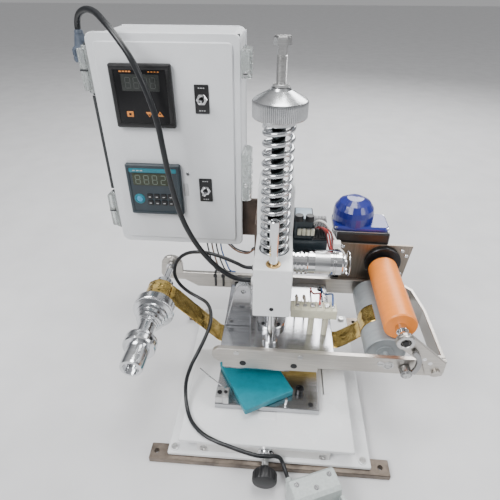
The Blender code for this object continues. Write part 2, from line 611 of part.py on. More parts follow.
def make_motor():
    y = (74.3, 78.0)
    outline = [(88, 190), (88, 150), (96, 120), (104, 100), (176, 100), (186, 128), (192, 188)]
    panel = plate(outline, "XZ", (70.3, y[0] - GAP), 0.4)
    shaft_hole = rod((FEED_X, 69, FEED_Z), 5.5, 8, "Y", 20)
    finish("motor_plate", cut(panel, shaft_hole), SATIN_STEEL, RAM_AXIS)
    box = block((84, 158), (y[0], 128), (100, 204), 2.0)
    socket = rod((FEED_X, y[0] - 1, FEED_Z), 4.6, 14, "Y", 20)
    finish("feed_gearbox", cut(box, socket), BLACK_PLASTIC, RAM_AXIS)
    z = 204.3
    skirt = plate(rounded((79, 157), (77, 121), 7, 3), "XY", (z, z + 7.5), 2.5)
    dome_profile = [(0, z + 5), (29, z + 5), (29, z + 18), (27.5, z + 26), (22, z + 34),
                    (12, z + 39.5), (0, z + 41)]
    dome = turned(dome_profile, (108, 106, 0), "Z", 28)
    finish("motor_cover", weld(skirt, dome), BLUE_ENAMEL, RAM_AXIS)


# ---------------------------------------------------------------- control box

def make_box():
    shell = plate(rounded(BOX_X, BOX_Z, 8, 3), "XZ", BOX_Y, 1.5)
    inside = block((BOX_X[0] + BOX_WALL, BOX_X[1] - BOX_WALL), (BOX_Y[0] - 1, BOX_Y[1] - BOX_WALL),
                   (BOX_Z[0] + BOX_WALL, BOX_Z[1] - BOX_WALL))
    finish("box_body", cut(shell, inside), BOX_GREY)
    supply = block((-205, -115), (122, BOX_Y[1] - BOX_WALL - GAP), (250, 350), 1.0)
    finish("power_supply", supply, ALUMINIUM)
    outline = [(-26.3, 8), (-26.3, 80), (-49.4, 80), (-49.4, 150), (-52.6, 150), (-52.6, 76.8),
               (-29.5, 76.8), (-29.5, 8)]
    finish("box_bracket", plate(outline, "XY", (192, 250)), DARK_STEEL)
    stub = rod((BOX_X[0] - GAP - 20, 92, 430), 8, 20, "X", 20, 0.8)
    cone = turned([(0, 419), (10.5, 419), (10.5, 434), (8, 436), (5.5, 448), (0, 448)],
                  (-242, 92, 0), "Z", 24)
    finish("mains_gland", weld(cone, stub), BLUE_GREY_PLASTIC)


def make_door():
    panel = plate(rounded(DOOR_X, DOOR_Z, 9, 4), "XZ", (DOOR_Y[0] + 2.5, DOOR_Y[1]), 1.2)
    field = (DOOR_X[0] + 9, DOOR_X[1] - 9), (DOOR_Z[0] + 9, DOOR_Z[1] - 9)
    raised = plate(rounded(*field, 5, 3), "XZ", (DOOR_Y[0], DOOR_Y[0] + 4), 1.0)
    door = weld(panel, raised)
    y = (DOOR_Y[0] - 2, DOOR_Y[1] + 2)
    windows = [block((x - 33.8, x + 33.8), y, (z - 33.8, z + 33.8)) for x, z in INSTRUMENTS]
    holes = [rod((x, y[0], z), 4.2, 12, "Y", 20) for _, x, z in TOGGLES]
    finish("box_door", cut(door, *windows, *holes), BOX_GREY, DOOR_AXIS)


def make_instruments():
    face = DOOR_Y[0] - GAP
    for name, (x, z), colour in zip(("temperature_controller", "counter_timer"), INSTRUMENTS,
                                    (BLACK_PLASTIC, DARK_PLASTIC)):
        bezel = block((x - 36, x + 36), (face - 7, face), (z - 36, z + 36), 1.5)
        rear = block((x - 33.3, x + 33.3), (face - 1, face + 54), (z - 33.3, z + 33.3), 0.8)
        body = weld(bezel, rear)
        if name == "counter_timer":
            cut(body, rod((BUTTON_X, face - 8, BUTTON_Z), 4.8, 5, "Y", 24))
        finish(name, body, colour, DOOR_AXIS)
    button = rod((BUTTON_X, face - 8.4, BUTTON_Z), 4.5, 4.0, "Y", 24, 0.5)
    finish("start_button", button, CYAN_PLASTIC, BUTTON_AXIS)
    for (name, x, z), axis in zip(TOGGLES, TOGGLE_AXES):
        profile = [(0, 6), (2.4, 5), (3, 3), (2.4, 0.5), (1.7, -2), (2.4, -15), (2.0, -16.5),
                   (0, -17)]
        bat = turned(list(reversed(profile)), (x, DOOR_Y[0], z), "Y", 16)
        finish(name, bat, CHROME, axis)


def make_latches():
    for (name, low, high), axis in zip(LATCHES, LATCH_AXES):
        outline = [(-49.5, 90), (-49.5, 58.4), (-42, 58.4), (-37.5, 63), (-37.5, 83), (-42, 90)]
        finish(name, plate(outline, "XY", (low, high), 0.6), BOX_GREY, axis)


# ---------------------------------------------------------------- foot switch and cords

def switch_place():
    corner = Matrix.Translation(Vector((*SWITCH_CORNER, 0)) * MM)
    return corner @ Matrix.Rotation(SWITCH_TURN - math.radians(90), 4, "Z")


def make_foot_switch():
    """Housing and pedal, modelled with length along local X and width along local Y."""
    profile = [(0, 0), (SWITCH_L, 0), (SWITCH_L, 12), (SWITCH_L - 3, 14), (44, 17), (30, 22),
               (26, 42), (22, 45), (3, 45), (0, 42)]
    housing = plate(profile, "XZ", (0, SWITCH_W), 1.0)
    ears = [plate([(24, 16), (46, 16), (42, 38), (30, 38)], "XZ", span)
            for span in ((0.5, 4.5), (SWITCH_W - 4.5, SWITCH_W - 0.5))]
    pin_way = rod((PEDAL_HINGE_L, -1, PEDAL_HINGE_Z), 2.4, SWITCH_W + 2, "Y", 16)
    gland = turned([(0, -15.0), (3.6, -15.0), (4.4, -9), (6.5, -9), (6.5, -3), (5, -3), (5, 1),
                    (0, 1)], (0, 9, 14), "X", 20)
    body = cut(weld(housing, *ears), pin_way)
    body = weld(body, gland)
    body.data.transform(switch_place())
    finish("foot_switch", body, GREY_ENAMEL)
    tread = [(30.5, 29.5), (33, 36), (92, 43), (95, 40), (95, 37), (38, 28.5)]
    pedal = plate(tread, "XZ", (5.2, SWITCH_W - 5.2), 0.6)
    pin = rod((PEDAL_HINGE_L, 0.8, PEDAL_HINGE_Z), 2.0, SWITCH_W - 1.6, "Y", 16)
    pedal = weld(pedal, pin)
    pedal.data.transform(switch_place())
    finish("foot_pedal", pedal, GREY_ENAMEL, PEDAL_AXIS)


def smooth_path(route, count):
    """Points at equal spacing along a centripetal spline through the route."""
    points = [Vector(p) for p in route]
    points = [2 * points[0] - points[1]] + points + [2 * points[-1] - points[-2]]
    dense = []
    for p0, p1, p2, p3 in zip(points, points[1:], points[2:], points[3:]):
        t0 = 0.0
        t1 = t0 + (p1 - p0).length ** 0.5
        t2 = t1 + (p2 - p1).length ** 0.5
        t3 = t2 + (p3 - p2).length ** 0.5
        for i in range(12):
            t = t1 + (t2 - t1) * i / 12
            a1 = p0 * ((t1 - t) / (t1 - t0)) + p1 * ((t - t0) / (t1 - t0))
            a2 = p1 * ((t2 - t) / (t2 - t1)) + p2 * ((t - t1) / (t2 - t1))
            a3 = p2 * ((t3 - t) / (t3 - t2)) + p3 * ((t - t2) / (t3 - t2))
            b1 = a1 * ((t2 - t) / (t2 - t0)) + a2 * ((t - t0) / (t2 - t0))
            b2 = a2 * ((t3 - t) / (t3 - t1)) + a3 * ((t - t1) / (t3 - t1))
            dense.append(b1 * ((t2 - t) / (t2 - t1)) + b2 * ((t - t1) / (t2 - t1)))
    dense.append(points[-2])
    lengths = [0.0]
    for a, b in zip(dense, dense[1:]):
        lengths.append(lengths[-1] + (b - a).length)
    result, k = [], 0
    for i in range(count):
        target = lengths[-1] * i / (count - 1)
        while k < len(lengths) - 2 and lengths[k + 1] < target:
            k += 1
        share = (target - lengths[k]) / (lengths[k + 1] - lengths[k])
        result.append(dense[k].lerp(dense[k + 1], min(share, 1.0)))
    return result


def make_cord(name, route, radius, count, sides, material):
    curve = bpy.data.curves.new(name, "CURVE")
    curve.dimensions = "3D"
    curve.bevel_depth = radius * MM
    curve.bevel_resolution = sides
    curve.use_fill_caps = True
    spline = curve.splines.new("POLY")
    points = smooth_path(route, count)
    spline.points.add(count - 1)
    for slot, point in zip(spline.points, points):
        slot.co = (*(point * MM), 1.0)
    curve.materials.append(material)
    cord = bpy.data.objects.new(name, curve)
    bpy.context.scene.collection.objects.link(cord)


# ---------------------------------------------------------------- build

clear_scene()

WHITE_ENAMEL = paint("white_enamel", (0.78, 0.79, 0.8), 0.3)
WARM_WHITE = paint("warm_white", (0.66, 0.65, 0.63), 0.45)
BOX_GREY = paint("box_grey", (0.70, 0.71, 0.72), 0.45)
GREY_ENAMEL = paint("grey_enamel", (0.55, 0.57, 0.56), 0.4)
BLUE_ENAMEL = paint("blue_enamel", (0.03, 0.045, 0.28), 0.3)
SATIN_STEEL = paint("satin_steel", (0.6, 0.58, 0.53), 0.35, 1.0)
BRUSHED_STEEL = paint("brushed_steel", (0.6, 0.6, 0.6), 0.35, 1.0)
POLISHED_STEEL = paint("polished_steel", (0.62, 0.63, 0.65), 0.15, 1.0)
KNURLED_STEEL = paint("knurled_steel", (0.6, 0.61, 0.62), 0.3, 1.0)
DARK_STEEL = paint("dark_steel", (0.14, 0.13, 0.12), 0.4, 1.0)
BLACK_STEEL = paint("black_steel", (0.03, 0.03, 0.03), 0.4, 1.0)
CHROME = paint("chrome", (0.8, 0.8, 0.81), 0.1, 1.0)
ALUMINIUM = paint("aluminium", (0.7, 0.71, 0.72), 0.25, 1.0)
BRONZE = paint("bronze", (0.5, 0.33, 0.14), 0.35, 1.0)
BLACK_PLASTIC = paint("black_plastic", (0.02, 0.02, 0.02), 0.4)
DARK_PLASTIC = paint("dark_plastic", (0.06, 0.07, 0.08), 0.45)
CYAN_PLASTIC = paint("cyan_plastic", (0.05, 0.4, 0.6), 0.35)
BLUE_GREY_PLASTIC = paint("blue_grey_plastic", (0.16, 0.19, 0.24), 0.45)
CREAM = paint("cream_ceramic", (0.62, 0.6, 0.46), 0.55)
TEAL_SILICONE = paint("teal_silicone", (0.0, 0.25, 0.32), 0.5)
ORANGE_RUBBER = paint("orange_rubber", (0.85, 0.33, 0.08), 0.5)
GREY_RUBBER = paint("grey_rubber", (0.33, 0.35, 0.36), 0.45)
GOLD_FOIL = paint("gold_foil", (0.55, 0.4, 0.12), 0.2, 1.0)
BLACK_RUBBER = paint("black_rubber", (0.02, 0.022, 0.025), 0.5)

BED_AXIS = axis_at("bed_axis", ADJUST_X, -90, TABLE_TOP)
ADJUST_AXIS = axis_at("adjust_axis", ADJUST_X, -178, ADJUST_Z)
RAM_AXIS = axis_at("ram_axis", HEAD_X, RAM_Y, PLATEN_TOP)
CAP_AXIS = axis_at("cap_axis", HEAD_X, RAM_Y, 400, RAM_AXIS)
PINION_AXIS = axis_at("pinion_axis", HEAD_X, GEAR_Y, GEAR_Z)
REEL_AXIS = axis_at("reel_axis", REEL_X, 0, REEL_Z, RAM_AXIS)
FEED_AXIS = axis_at("feed_axis", FEED_X, 0, FEED_Z, RAM_AXIS)
ARM_AXIS = axis_at("arm_axis", PRESS_PIVOT_X, -83, PRESS_PIVOT_Z, RAM_AXIS)
PRESS_AXIS = axis_at("press_axis", PRESS_X, 0, PRESS_Z, ARM_AXIS)
LEVER_AXIS = axis_at("lever_axis", LEVER_X, -88, LEVER_Z, RAM_AXIS)
DOOR_AXIS = axis_at("door_axis", HINGE_X, HINGE_Y, 318)
BUTTON_AXIS = axis_at("button_axis", BUTTON_X, 54, BUTTON_Z, DOOR_AXIS)
TOGGLE_AXES = [axis_at(name + "_axis", x, DOOR_Y[0], z, DOOR_AXIS) for name, x, z in TOGGLES]
LATCH_AXES = [axis_at(name + "_axis", LATCH_X, LATCH_Y, low) for name, low, _ in LATCHES]
PEDAL_AXIS = axis_at("pedal_axis", *(switch_place() @ Vector(
    (PEDAL_HINGE_L * MM, SWITCH_W / 2 * MM, PEDAL_HINGE_Z * MM)) / MM))

make_base()
make_table()
make_bed()
make_column()
make_head()
make_drive()
make_relay()
make_ram()
make_cap()
make_spring()
make_platen()
make_bars()
make_frames()
make_reel()
make_feed()
make_motor()
make_box()
make_door()
make_instruments()
make_latches()
make_foot_switch()
make_cord("mains_cable", MAINS_ROUTE, MAINS_R, 44, 2, BLACK_RUBBER)
make_cord("foot_cable", FOOT_ROUTE, FOOT_R, 64, 2, BLACK_RUBBER)
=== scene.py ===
"""Looks for the bench hot foil stamper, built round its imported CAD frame.

Shapes are written in millimetres in the frame's own axes and turned into metres as each piece
is made. The order is: camera, materials, shape helpers, mains cord, light and floor, then the
pieces group by group. The foot cord comes after the foot switch, because the switch is on it.
"""

import math

import bmesh
import bpy
from mathutils import Euler, Matrix, Vector, noise


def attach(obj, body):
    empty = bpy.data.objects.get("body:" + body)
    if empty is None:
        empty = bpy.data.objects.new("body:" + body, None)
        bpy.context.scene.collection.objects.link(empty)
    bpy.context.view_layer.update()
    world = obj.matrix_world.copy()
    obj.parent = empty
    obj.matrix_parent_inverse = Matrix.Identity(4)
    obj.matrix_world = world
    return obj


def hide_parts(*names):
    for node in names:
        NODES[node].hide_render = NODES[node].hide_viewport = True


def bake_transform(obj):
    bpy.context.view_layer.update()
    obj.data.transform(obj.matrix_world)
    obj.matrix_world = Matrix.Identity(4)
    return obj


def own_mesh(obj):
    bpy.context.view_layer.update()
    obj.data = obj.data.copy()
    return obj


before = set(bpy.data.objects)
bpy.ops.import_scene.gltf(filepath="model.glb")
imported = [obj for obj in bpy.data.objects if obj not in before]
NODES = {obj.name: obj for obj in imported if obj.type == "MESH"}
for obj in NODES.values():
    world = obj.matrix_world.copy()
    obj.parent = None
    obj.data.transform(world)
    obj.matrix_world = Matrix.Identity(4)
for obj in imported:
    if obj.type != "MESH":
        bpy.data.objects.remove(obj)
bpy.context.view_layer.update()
MM = 0.001

# ---------------------------------------------------------------- camera

CAMERA_AT = (-0.002, -0.427, 0.507)
CAMERA_TURN = (55.95, -0.15, 4.44)
LENS = 29.45

camera_data = bpy.data.cameras.new("camera")
camera_data.lens = LENS
camera_data.sensor_width = 36.0
camera_data.clip_start = 0.01
camera = bpy.data.objects.new("camera", camera_data)
bpy.context.scene.collection.objects.link(camera)
turn = Euler([math.radians(angle) for angle in CAMERA_TURN])
camera.matrix_world = Matrix.Translation(CAMERA_AT) @ turn.to_matrix().to_4x4()
bpy.context.scene.camera = camera


# ---------------------------------------------------------------- materials

BROAD_SCALE, COAT_ROUGHNESS = 14.0, 0.06
# Painted shade inside the return spring: the fade width and the near-black colour the ram shaft
# turns above a height.
SPRING_SHADE_FADE, SPRING_SHADE_COLOUR = 0.004, (0.035, 0.042, 0.042, 1)


def surface(name, colour, rough, metal=0.0, vary=0.06, grain=0.06, scale=60.0,
            stretch=(1, 1, 1), bump=0.0, bump_scale=600.0, tint=None, coat=0.0, smudge=0.06,
            clear=0.0, ior=None, depth=0.0004, spring_shade_above=None):
    """A Principled material with drifting colour, uneven roughness and a fine bump.

    tint replaces the darker colour; the last argument is a height in metres above which the
    colour fades to near black, painted shade standing in for the shadow inside the return spring.
    """
    made = bpy.data.materials.new(name)
    made.use_nodes = True
    nodes, links = made.node_tree.nodes, made.node_tree.links

    def node(kind, inputs, **settings):
        """The outputs of a new node, whose inputs are set or linked to another's output."""
        new = nodes.new("ShaderNode" + kind)
        for key, value in settings.items():
            setattr(new, key, value)
        for key, value in inputs.items():
            if isinstance(value, bpy.types.NodeSocket):
                links.new(value, new.inputs[key])
            else:
                new.inputs[key].default_value = value
        return new.outputs

    def ramp(factor, *stops):
        """A colour ramp between two stops, each a place and a colour."""
        new = nodes.new("ShaderNodeValToRGB")
        for element, (spot, shade) in zip(new.color_ramp.elements, stops):
            element.position, element.color = spot, (*shade, 1)
        links.new(factor, new.inputs["Fac"])
        return new.outputs["Color"]

    place = node("TexCoord", {})["Object"]
    along = node("Mapping", {"Vector": place, "Scale": stretch})["Vector"]
    fine = node("TexNoise", {"Vector": along, "Scale": scale, "Detail": 6.0,
                             "Roughness": 0.6})["Fac"]
    broad = node("TexNoise", {"Vector": place, "Scale": BROAD_SCALE, "Detail": 4.0})["Fac"]
    dark = tint or [c * (1 - vary) for c in colour]
    light = [min(c * (1 + vary), 1.0) for c in colour]
    grainy = ramp(fine, (0.32, dark), (0.68, light))
    patchy = ramp(broad, (0.3, (0.8, 0.8, 0.8)), (0.62, (1, 1, 1)))
    base = node("Mix", {"Factor": 0.35, "A": grainy, "B": patchy}, data_type="RGBA",
                blend_type="MULTIPLY")["Result"]
    # Painted shade: above the given height the colour fades to the dark colour, for the shadow
    # inside the spring.
    if spring_shade_above:
        height = node("SeparateXYZ", {"Vector": place})["Z"]
        above = node("MapRange", {"Value": height, "From Min": spring_shade_above,
                                  "From Max": spring_shade_above + SPRING_SHADE_FADE})["Result"]
        base = node("Mix", {"Factor": above, "A": base, "B": SPRING_SHADE_COLOUR},
                    data_type="RGBA")["Result"]
    smudged = node("Math", {0: broad, 1: 2 * smudge, 2: rough - grain - smudge},
                   operation="MULTIPLY_ADD")["Value"]
    uneven = node("Math", {0: fine, 1: 2 * grain, 2: smudged}, operation="MULTIPLY_ADD",
                  use_clamp=True)["Value"]
    shader = nodes["Principled BSDF"]
    links.new(base, shader.inputs["Base Color"])
    links.new(uneven, shader.inputs["Roughness"])
    for key, value in (("Metallic", metal), ("Coat Weight", coat), ("IOR", ior),
                       ("Coat Roughness", COAT_ROUGHNESS), ("Transmission Weight", clear)):
        if value is not None:
            shader.inputs[key].default_value = value
    if bump:
        relief = node("TexNoise", {"Vector": along, "Scale": bump_scale, "Detail": 3.0})["Fac"]
        raised = node("Bump", {"Height": relief, "Strength": bump, "Distance": depth})
        links.new(raised["Normal"], shader.inputs["Normal"])
    return made


WHITE = surface("white_enamel", (0.80, 0.81, 0.82), 0.26, vary=0.02, scale=30, coat=0.35,
                bump=0.12, bump_scale=220, grain=0.05)
WARM_WHITE = surface("warm_white", (0.68, 0.67, 0.655), 0.42, vary=0.05, scale=80, bump=0.2,
                     bump_scale=420)
BOX_GREY = surface("box_grey", (0.70, 0.715, 0.735), 0.42, vary=0.02, scale=40, bump=0.16,
                   bump_scale=1500, depth=0.0002)
GREY_ENAMEL = surface("grey_enamel", (0.44, 0.48, 0.47), 0.38, vary=0.1, scale=350, bump=0.5,
                      bump_scale=480, coat=0.3)
BLUE = surface("blue_enamel", (0.012, 0.02, 0.22), 0.3, vary=0.12, scale=50, bump=0.25,
               bump_scale=500, coat=0.4)
SATIN = surface("satin_steel", (0.50, 0.475, 0.44), 0.34, 1.0, vary=0.14, grain=0.1, scale=30,
                stretch=(1, 30, 30), bump=0.12, bump_scale=90)
BRUSHED = surface("brushed_steel", (0.56, 0.56, 0.555), 0.32, 1.0, vary=0.14, grain=0.1,
                  scale=30, stretch=(1, 28, 28), bump=0.15, bump_scale=90)
GROUND = surface("ground_steel", (0.47, 0.475, 0.49), 0.2, 1.0, vary=0.16, grain=0.09,
                 scale=22, stretch=(1, 26, 26), bump=0.1, bump_scale=80)
PLATE_BROWN = surface("motor_plate_steel", (0.27, 0.235, 0.20), 0.36, 1.0, vary=0.16,
                      grain=0.08, scale=24, stretch=(26, 26, 1), bump=0.1, bump_scale=90)
KNURLED = surface("knurled_steel", (0.56, 0.57, 0.58), 0.24, 1.0, vary=0.1, scale=120,
                  bump=0.1, bump_scale=900)
DARK_STEEL = surface("dark_steel", (0.13, 0.12, 0.11), 0.4, 1.0, vary=0.35, grain=0.12,
                     scale=45, bump=0.2, bump_scale=500)
EAR_STEEL = surface("browned_steel", (0.24, 0.20, 0.165), 0.4, 1.0, vary=0.3, grain=0.12,
                    scale=40, bump=0.2, bump_scale=400, tint=(0.12, 0.10, 0.085))
BROWN_PAINT = surface("brown_bracket_paint", (0.07, 0.045, 0.032), 0.42, vary=0.3, scale=60,
                      bump=0.2, bump_scale=500)
BLACK_STEEL = surface("black_steel", (0.03, 0.03, 0.032), 0.34, 0.7, vary=0.3, scale=200)
CHROME = surface("chrome", (0.74, 0.745, 0.755), 0.1, 1.0, vary=0.06, grain=0.05, scale=70,
                 smudge=0.04)
# The ram shaft is painted dark above the spring seat, as painted shade inside the spring.
RAM_CHROME = surface("ram_chrome", (0.70, 0.705, 0.72), 0.16, 1.0, vary=0.06, grain=0.05, scale=70,
                     smudge=0.04, spring_shade_above=0.238)
SPRING_STEEL = surface("spring_steel", (0.60, 0.615, 0.63), 0.24, 1.0, vary=0.08, grain=0.05,
                       scale=160, smudge=0.04)
TURNED = surface("turned_aluminium", (0.70, 0.71, 0.725), 0.17, 1.0, vary=0.1, grain=0.07,
                 scale=60, stretch=(0.6, 22, 0.6), bump=0.1, bump_scale=60)
ALUMINIUM = surface("aluminium", (0.62, 0.63, 0.64), 0.3, 1.0, vary=0.1, scale=40,
                    stretch=(1, 16, 16))
LEVER = surface("lever_steel", (0.30, 0.30, 0.30), 0.28, 1.0, vary=0.2, scale=40, bump=0.15,
                bump_scale=300)
BRONZE = surface("bronze", (0.50, 0.33, 0.14), 0.34, 1.0, vary=0.15, scale=120)
BLACK_PLASTIC = surface("black_plastic", (0.007, 0.007, 0.008), 0.4, vary=0.3, scale=120,
                        bump=0.2, bump_scale=1400, depth=0.0002)
BLACK_HOUSING = surface("black_housing", (0.009, 0.009, 0.01), 0.36, vary=0.3, scale=80,
                        bump=0.3, bump_scale=700, coat=0.1)
SLATE = surface("slate_plastic", (0.022, 0.034, 0.043), 0.42, vary=0.12, scale=100, bump=0.15,
                bump_scale=1400, depth=0.0002)
CLEAR = surface("clear_plastic", (0.80, 0.84, 0.83), 0.12, vary=0.03, scale=60, clear=0.72,
                ior=1.5, grain=0.04, smudge=0.03, bump=0.1, bump_scale=200)
CYAN = surface("cyan_plastic", (0.02, 0.27, 0.48), 0.3, vary=0.1, scale=200, coat=0.3)
GLAND = surface("blue_grey_plastic", (0.075, 0.095, 0.13), 0.42, vary=0.15, scale=150, bump=0.1)
CERAMIC = surface("cream_ceramic", (0.62, 0.60, 0.46), 0.36, vary=0.08, scale=150, coat=0.2)
TEAL = surface("teal_silicone", (0.0, 0.20, 0.26), 0.42, vary=0.14, scale=90, bump=0.25,
               bump_scale=900, grain=0.08, depth=0.0003)
ORANGE = surface("orange_rubber", (0.92, 0.27, 0.035), 0.4, vary=0.06, scale=60, bump=0.18,
                 bump_scale=1100, stretch=(1, 3, 1), grain=0.08, depth=0.0003)
GREY_ROLLER = surface("grey_rubber", (0.30, 0.325, 0.34), 0.38, vary=0.08, scale=60,
                      stretch=(1, 3, 1), bump=0.15, bump_scale=900, depth=0.0003)
GOLD = surface("gold_foil", (0.72, 0.52, 0.17), 0.2, 1.0, vary=0.22, grain=0.09, scale=70,
               bump=0.8, bump_scale=110, depth=0.0012, tint=(0.42, 0.28, 0.07))
CABLE = surface("cable_pvc", (0.008, 0.009, 0.011), 0.34, vary=0.25, scale=300, bump=0.12,
                bump_scale=900)
SEAL = surface("seal_rubber", (0.025, 0.028, 0.03), 0.6, vary=0.2, scale=200)
SCREEN = surface("display_window", (0.006, 0.006, 0.007), 0.3, vary=0.12, scale=200, ior=1.33,
                 grain=0.05, smudge=0.03, bump=0.05, bump_scale=900, depth=0.0001)
DIM = surface("display_dim", (0.03, 0.033, 0.031), 0.3, vary=0.12, scale=200, ior=1.33,
              bump=0.05, bump_scale=900, depth=0.0001)
OLIVE = surface("display_olive", (0.04, 0.046, 0.03), 0.3, vary=0.1, scale=200, ior=1.35,
                grain=0.03, smudge=0.02)
SEGMENT = surface("lit_segment", (0.12, 0.15, 0.12), 0.4, vary=0.05, scale=400)
GHOST = surface("unlit_segment", (0.045, 0.05, 0.047), 0.3, vary=0.05, scale=400)
ORANGE_INK = surface("orange_ink", (0.62, 0.22, 0.045), 0.5, vary=0.1, scale=400)
TEAL_BAND = surface("teal_band", (0.01, 0.16, 0.21), 0.38, vary=0.1, scale=200)
WHITE_INK = surface("white_ink", (0.5, 0.51, 0.52), 0.5, vary=0.05, scale=400)
STEEL_LABEL = surface("steel_blue_label", (0.36, 0.45, 0.53), 0.36, vary=0.08, scale=150)
WIRE_COLOURS = {
    "white": surface("wire_white", (0.74, 0.73, 0.70), 0.42, vary=0.05, scale=200),
    "red": surface("wire_red", (0.42, 0.035, 0.03), 0.4, vary=0.12, scale=200),
    "maroon": surface("wire_maroon", (0.13, 0.022, 0.022), 0.42, vary=0.15, scale=200),
    "black": surface("wire_black", (0.022, 0.022, 0.024), 0.45, vary=0.2, scale=200),
    "brown": surface("wire_brown", (0.13, 0.065, 0.035), 0.45, vary=0.2, scale=200),
    "blue": surface("wire_blue", (0.035, 0.09, 0.26), 0.42, vary=0.15, scale=200),
    "braid": surface("wire_braid", (0.46, 0.42, 0.36), 0.5, vary=0.25, scale=900, bump=0.5,
                     bump_scale=1600),
}

CAD_MATERIALS = {
    "base_plate table_plate rear_column head_block": WHITE,
    "table_riser": WARM_WHITE, "box_body box_door": BOX_GREY,
    "foot_switch foot_pedal": GREY_ENAMEL, "motor_cover": BLUE,
    "front_bar back_bar end_bracket pressure_arm": SATIN, "motor_plate": PLATE_BROWN,
    "side_clamp stop_bolt": BRUSHED, "bed_plate platen die_plate side_rib": GROUND,
    "drive_pinion": DARK_STEEL, "box_bracket": BROWN_PAINT,
    "foot_bar_front foot_bar_rear": EAR_STEEL, "bed_screw heater_left heater_right": BLACK_STEEL,
    "ram_shaft": RAM_CHROME, "stop_pin drive_motor guide_rod reel_spindle": CHROME,
    "toggle_upper toggle_lower": CHROME, "release_lever": LEVER,
    "heater_block power_supply": ALUMINIUM,
    "ram_bush guide_bush": BRONZE, "feed_gearbox": BLACK_HOUSING,
    "temperature_controller": BLACK_PLASTIC, "relay_unit counter_timer": SLATE,
    "latch_upper latch_lower": CLEAR, "start_button": CYAN, "mains_gland": GLAND,
    "terminal_board": CERAMIC, "stamping_pad": TEAL,
}
for names, material in CAD_MATERIALS.items():
    for node in names.split():
        for held in NODES[node].material_slots:
            held.material = material


# ---------------------------------------------------------------- shape helpers

def arc(centre, radius, start, end, steps):
    """Points on an arc in a plane, angles in degrees."""
    angles = [math.radians(start + (end - start) * i / steps) for i in range(steps + 1)]
    return [(centre[0] + radius * math.cos(a), centre[1] + radius * math.sin(a))
            for a in angles]


def rounded(u, v, radius, steps=6):
    """Outline of a rectangle with rounded corners."""
    points = []
    for cu, cv, start in ((u[1], v[0], -90), (u[1], v[1], 0), (u[0], v[1], 90),
                          (u[0], v[0], 180)):
        inner = (cu + (radius if cu == u[0] else -radius),
                 cv + (radius if cv == v[0] else -radius))
        points += arc(inner, radius, start, start + 90, steps)
    return points


def smooth_line(route, per_span=8):
    """A centripetal spline through the route, as dense points."""
    points = [Vector(p) for p in route]
    points = [2 * points[0] - points[1]] + points + [2 * points[-1] - points[-2]]
    dense = []
    for p0, p1, p2, p3 in zip(points, points[1:], points[2:], points[3:]):
        t0 = 0.0
        t1 = t0 + (p1 - p0).length ** 0.5
        t2 = t1 + (p2 - p1).length ** 0.5
        t3 = t2 + (p3 - p2).length ** 0.5
        for i in range(per_span):
            t = t1 + (t2 - t1) * i / per_span
            a1 = p0 * ((t1 - t) / (t1 - t0)) + p1 * ((t - t0) / (t1 - t0))
            a2 = p1 * ((t2 - t) / (t2 - t1)) + p2 * ((t - t1) / (t2 - t1))
            a3 = p2 * ((t3 - t) / (t3 - t2)) + p3 * ((t - t2) / (t3 - t2))
            b1 = a1 * ((t2 - t) / (t2 - t0)) + a2 * ((t - t0) / (t2 - t0))
            b2 = a2 * ((t3 - t) / (t3 - t1)) + a3 * ((t - t1) / (t3 - t1))
            dense.append(b1 * ((t2 - t) / (t2 - t1)) + b2 * ((t - t1) / (t2 - t1)))
    dense.append(points[-2])
    return dense


AXES = {"X": Vector((1, 0, 0)), "Y": Vector((0, 1, 0)), "Z": Vector((0, 0, 1)),
        "-X": Vector((-1, 0, 0)), "-Y": Vector((0, -1, 0)), "-Z": Vector((0, 0, -1))}


def toward(centre, axis):
    """Places local Z along an axis at a centre, both in millimetres."""
    direction = AXES[axis] if isinstance(axis, str) else Vector(axis).normalized()
    turn = direction.to_track_quat("Z", "Y").to_matrix().to_4x4()
    return Matrix.Translation(Vector(centre)) @ turn


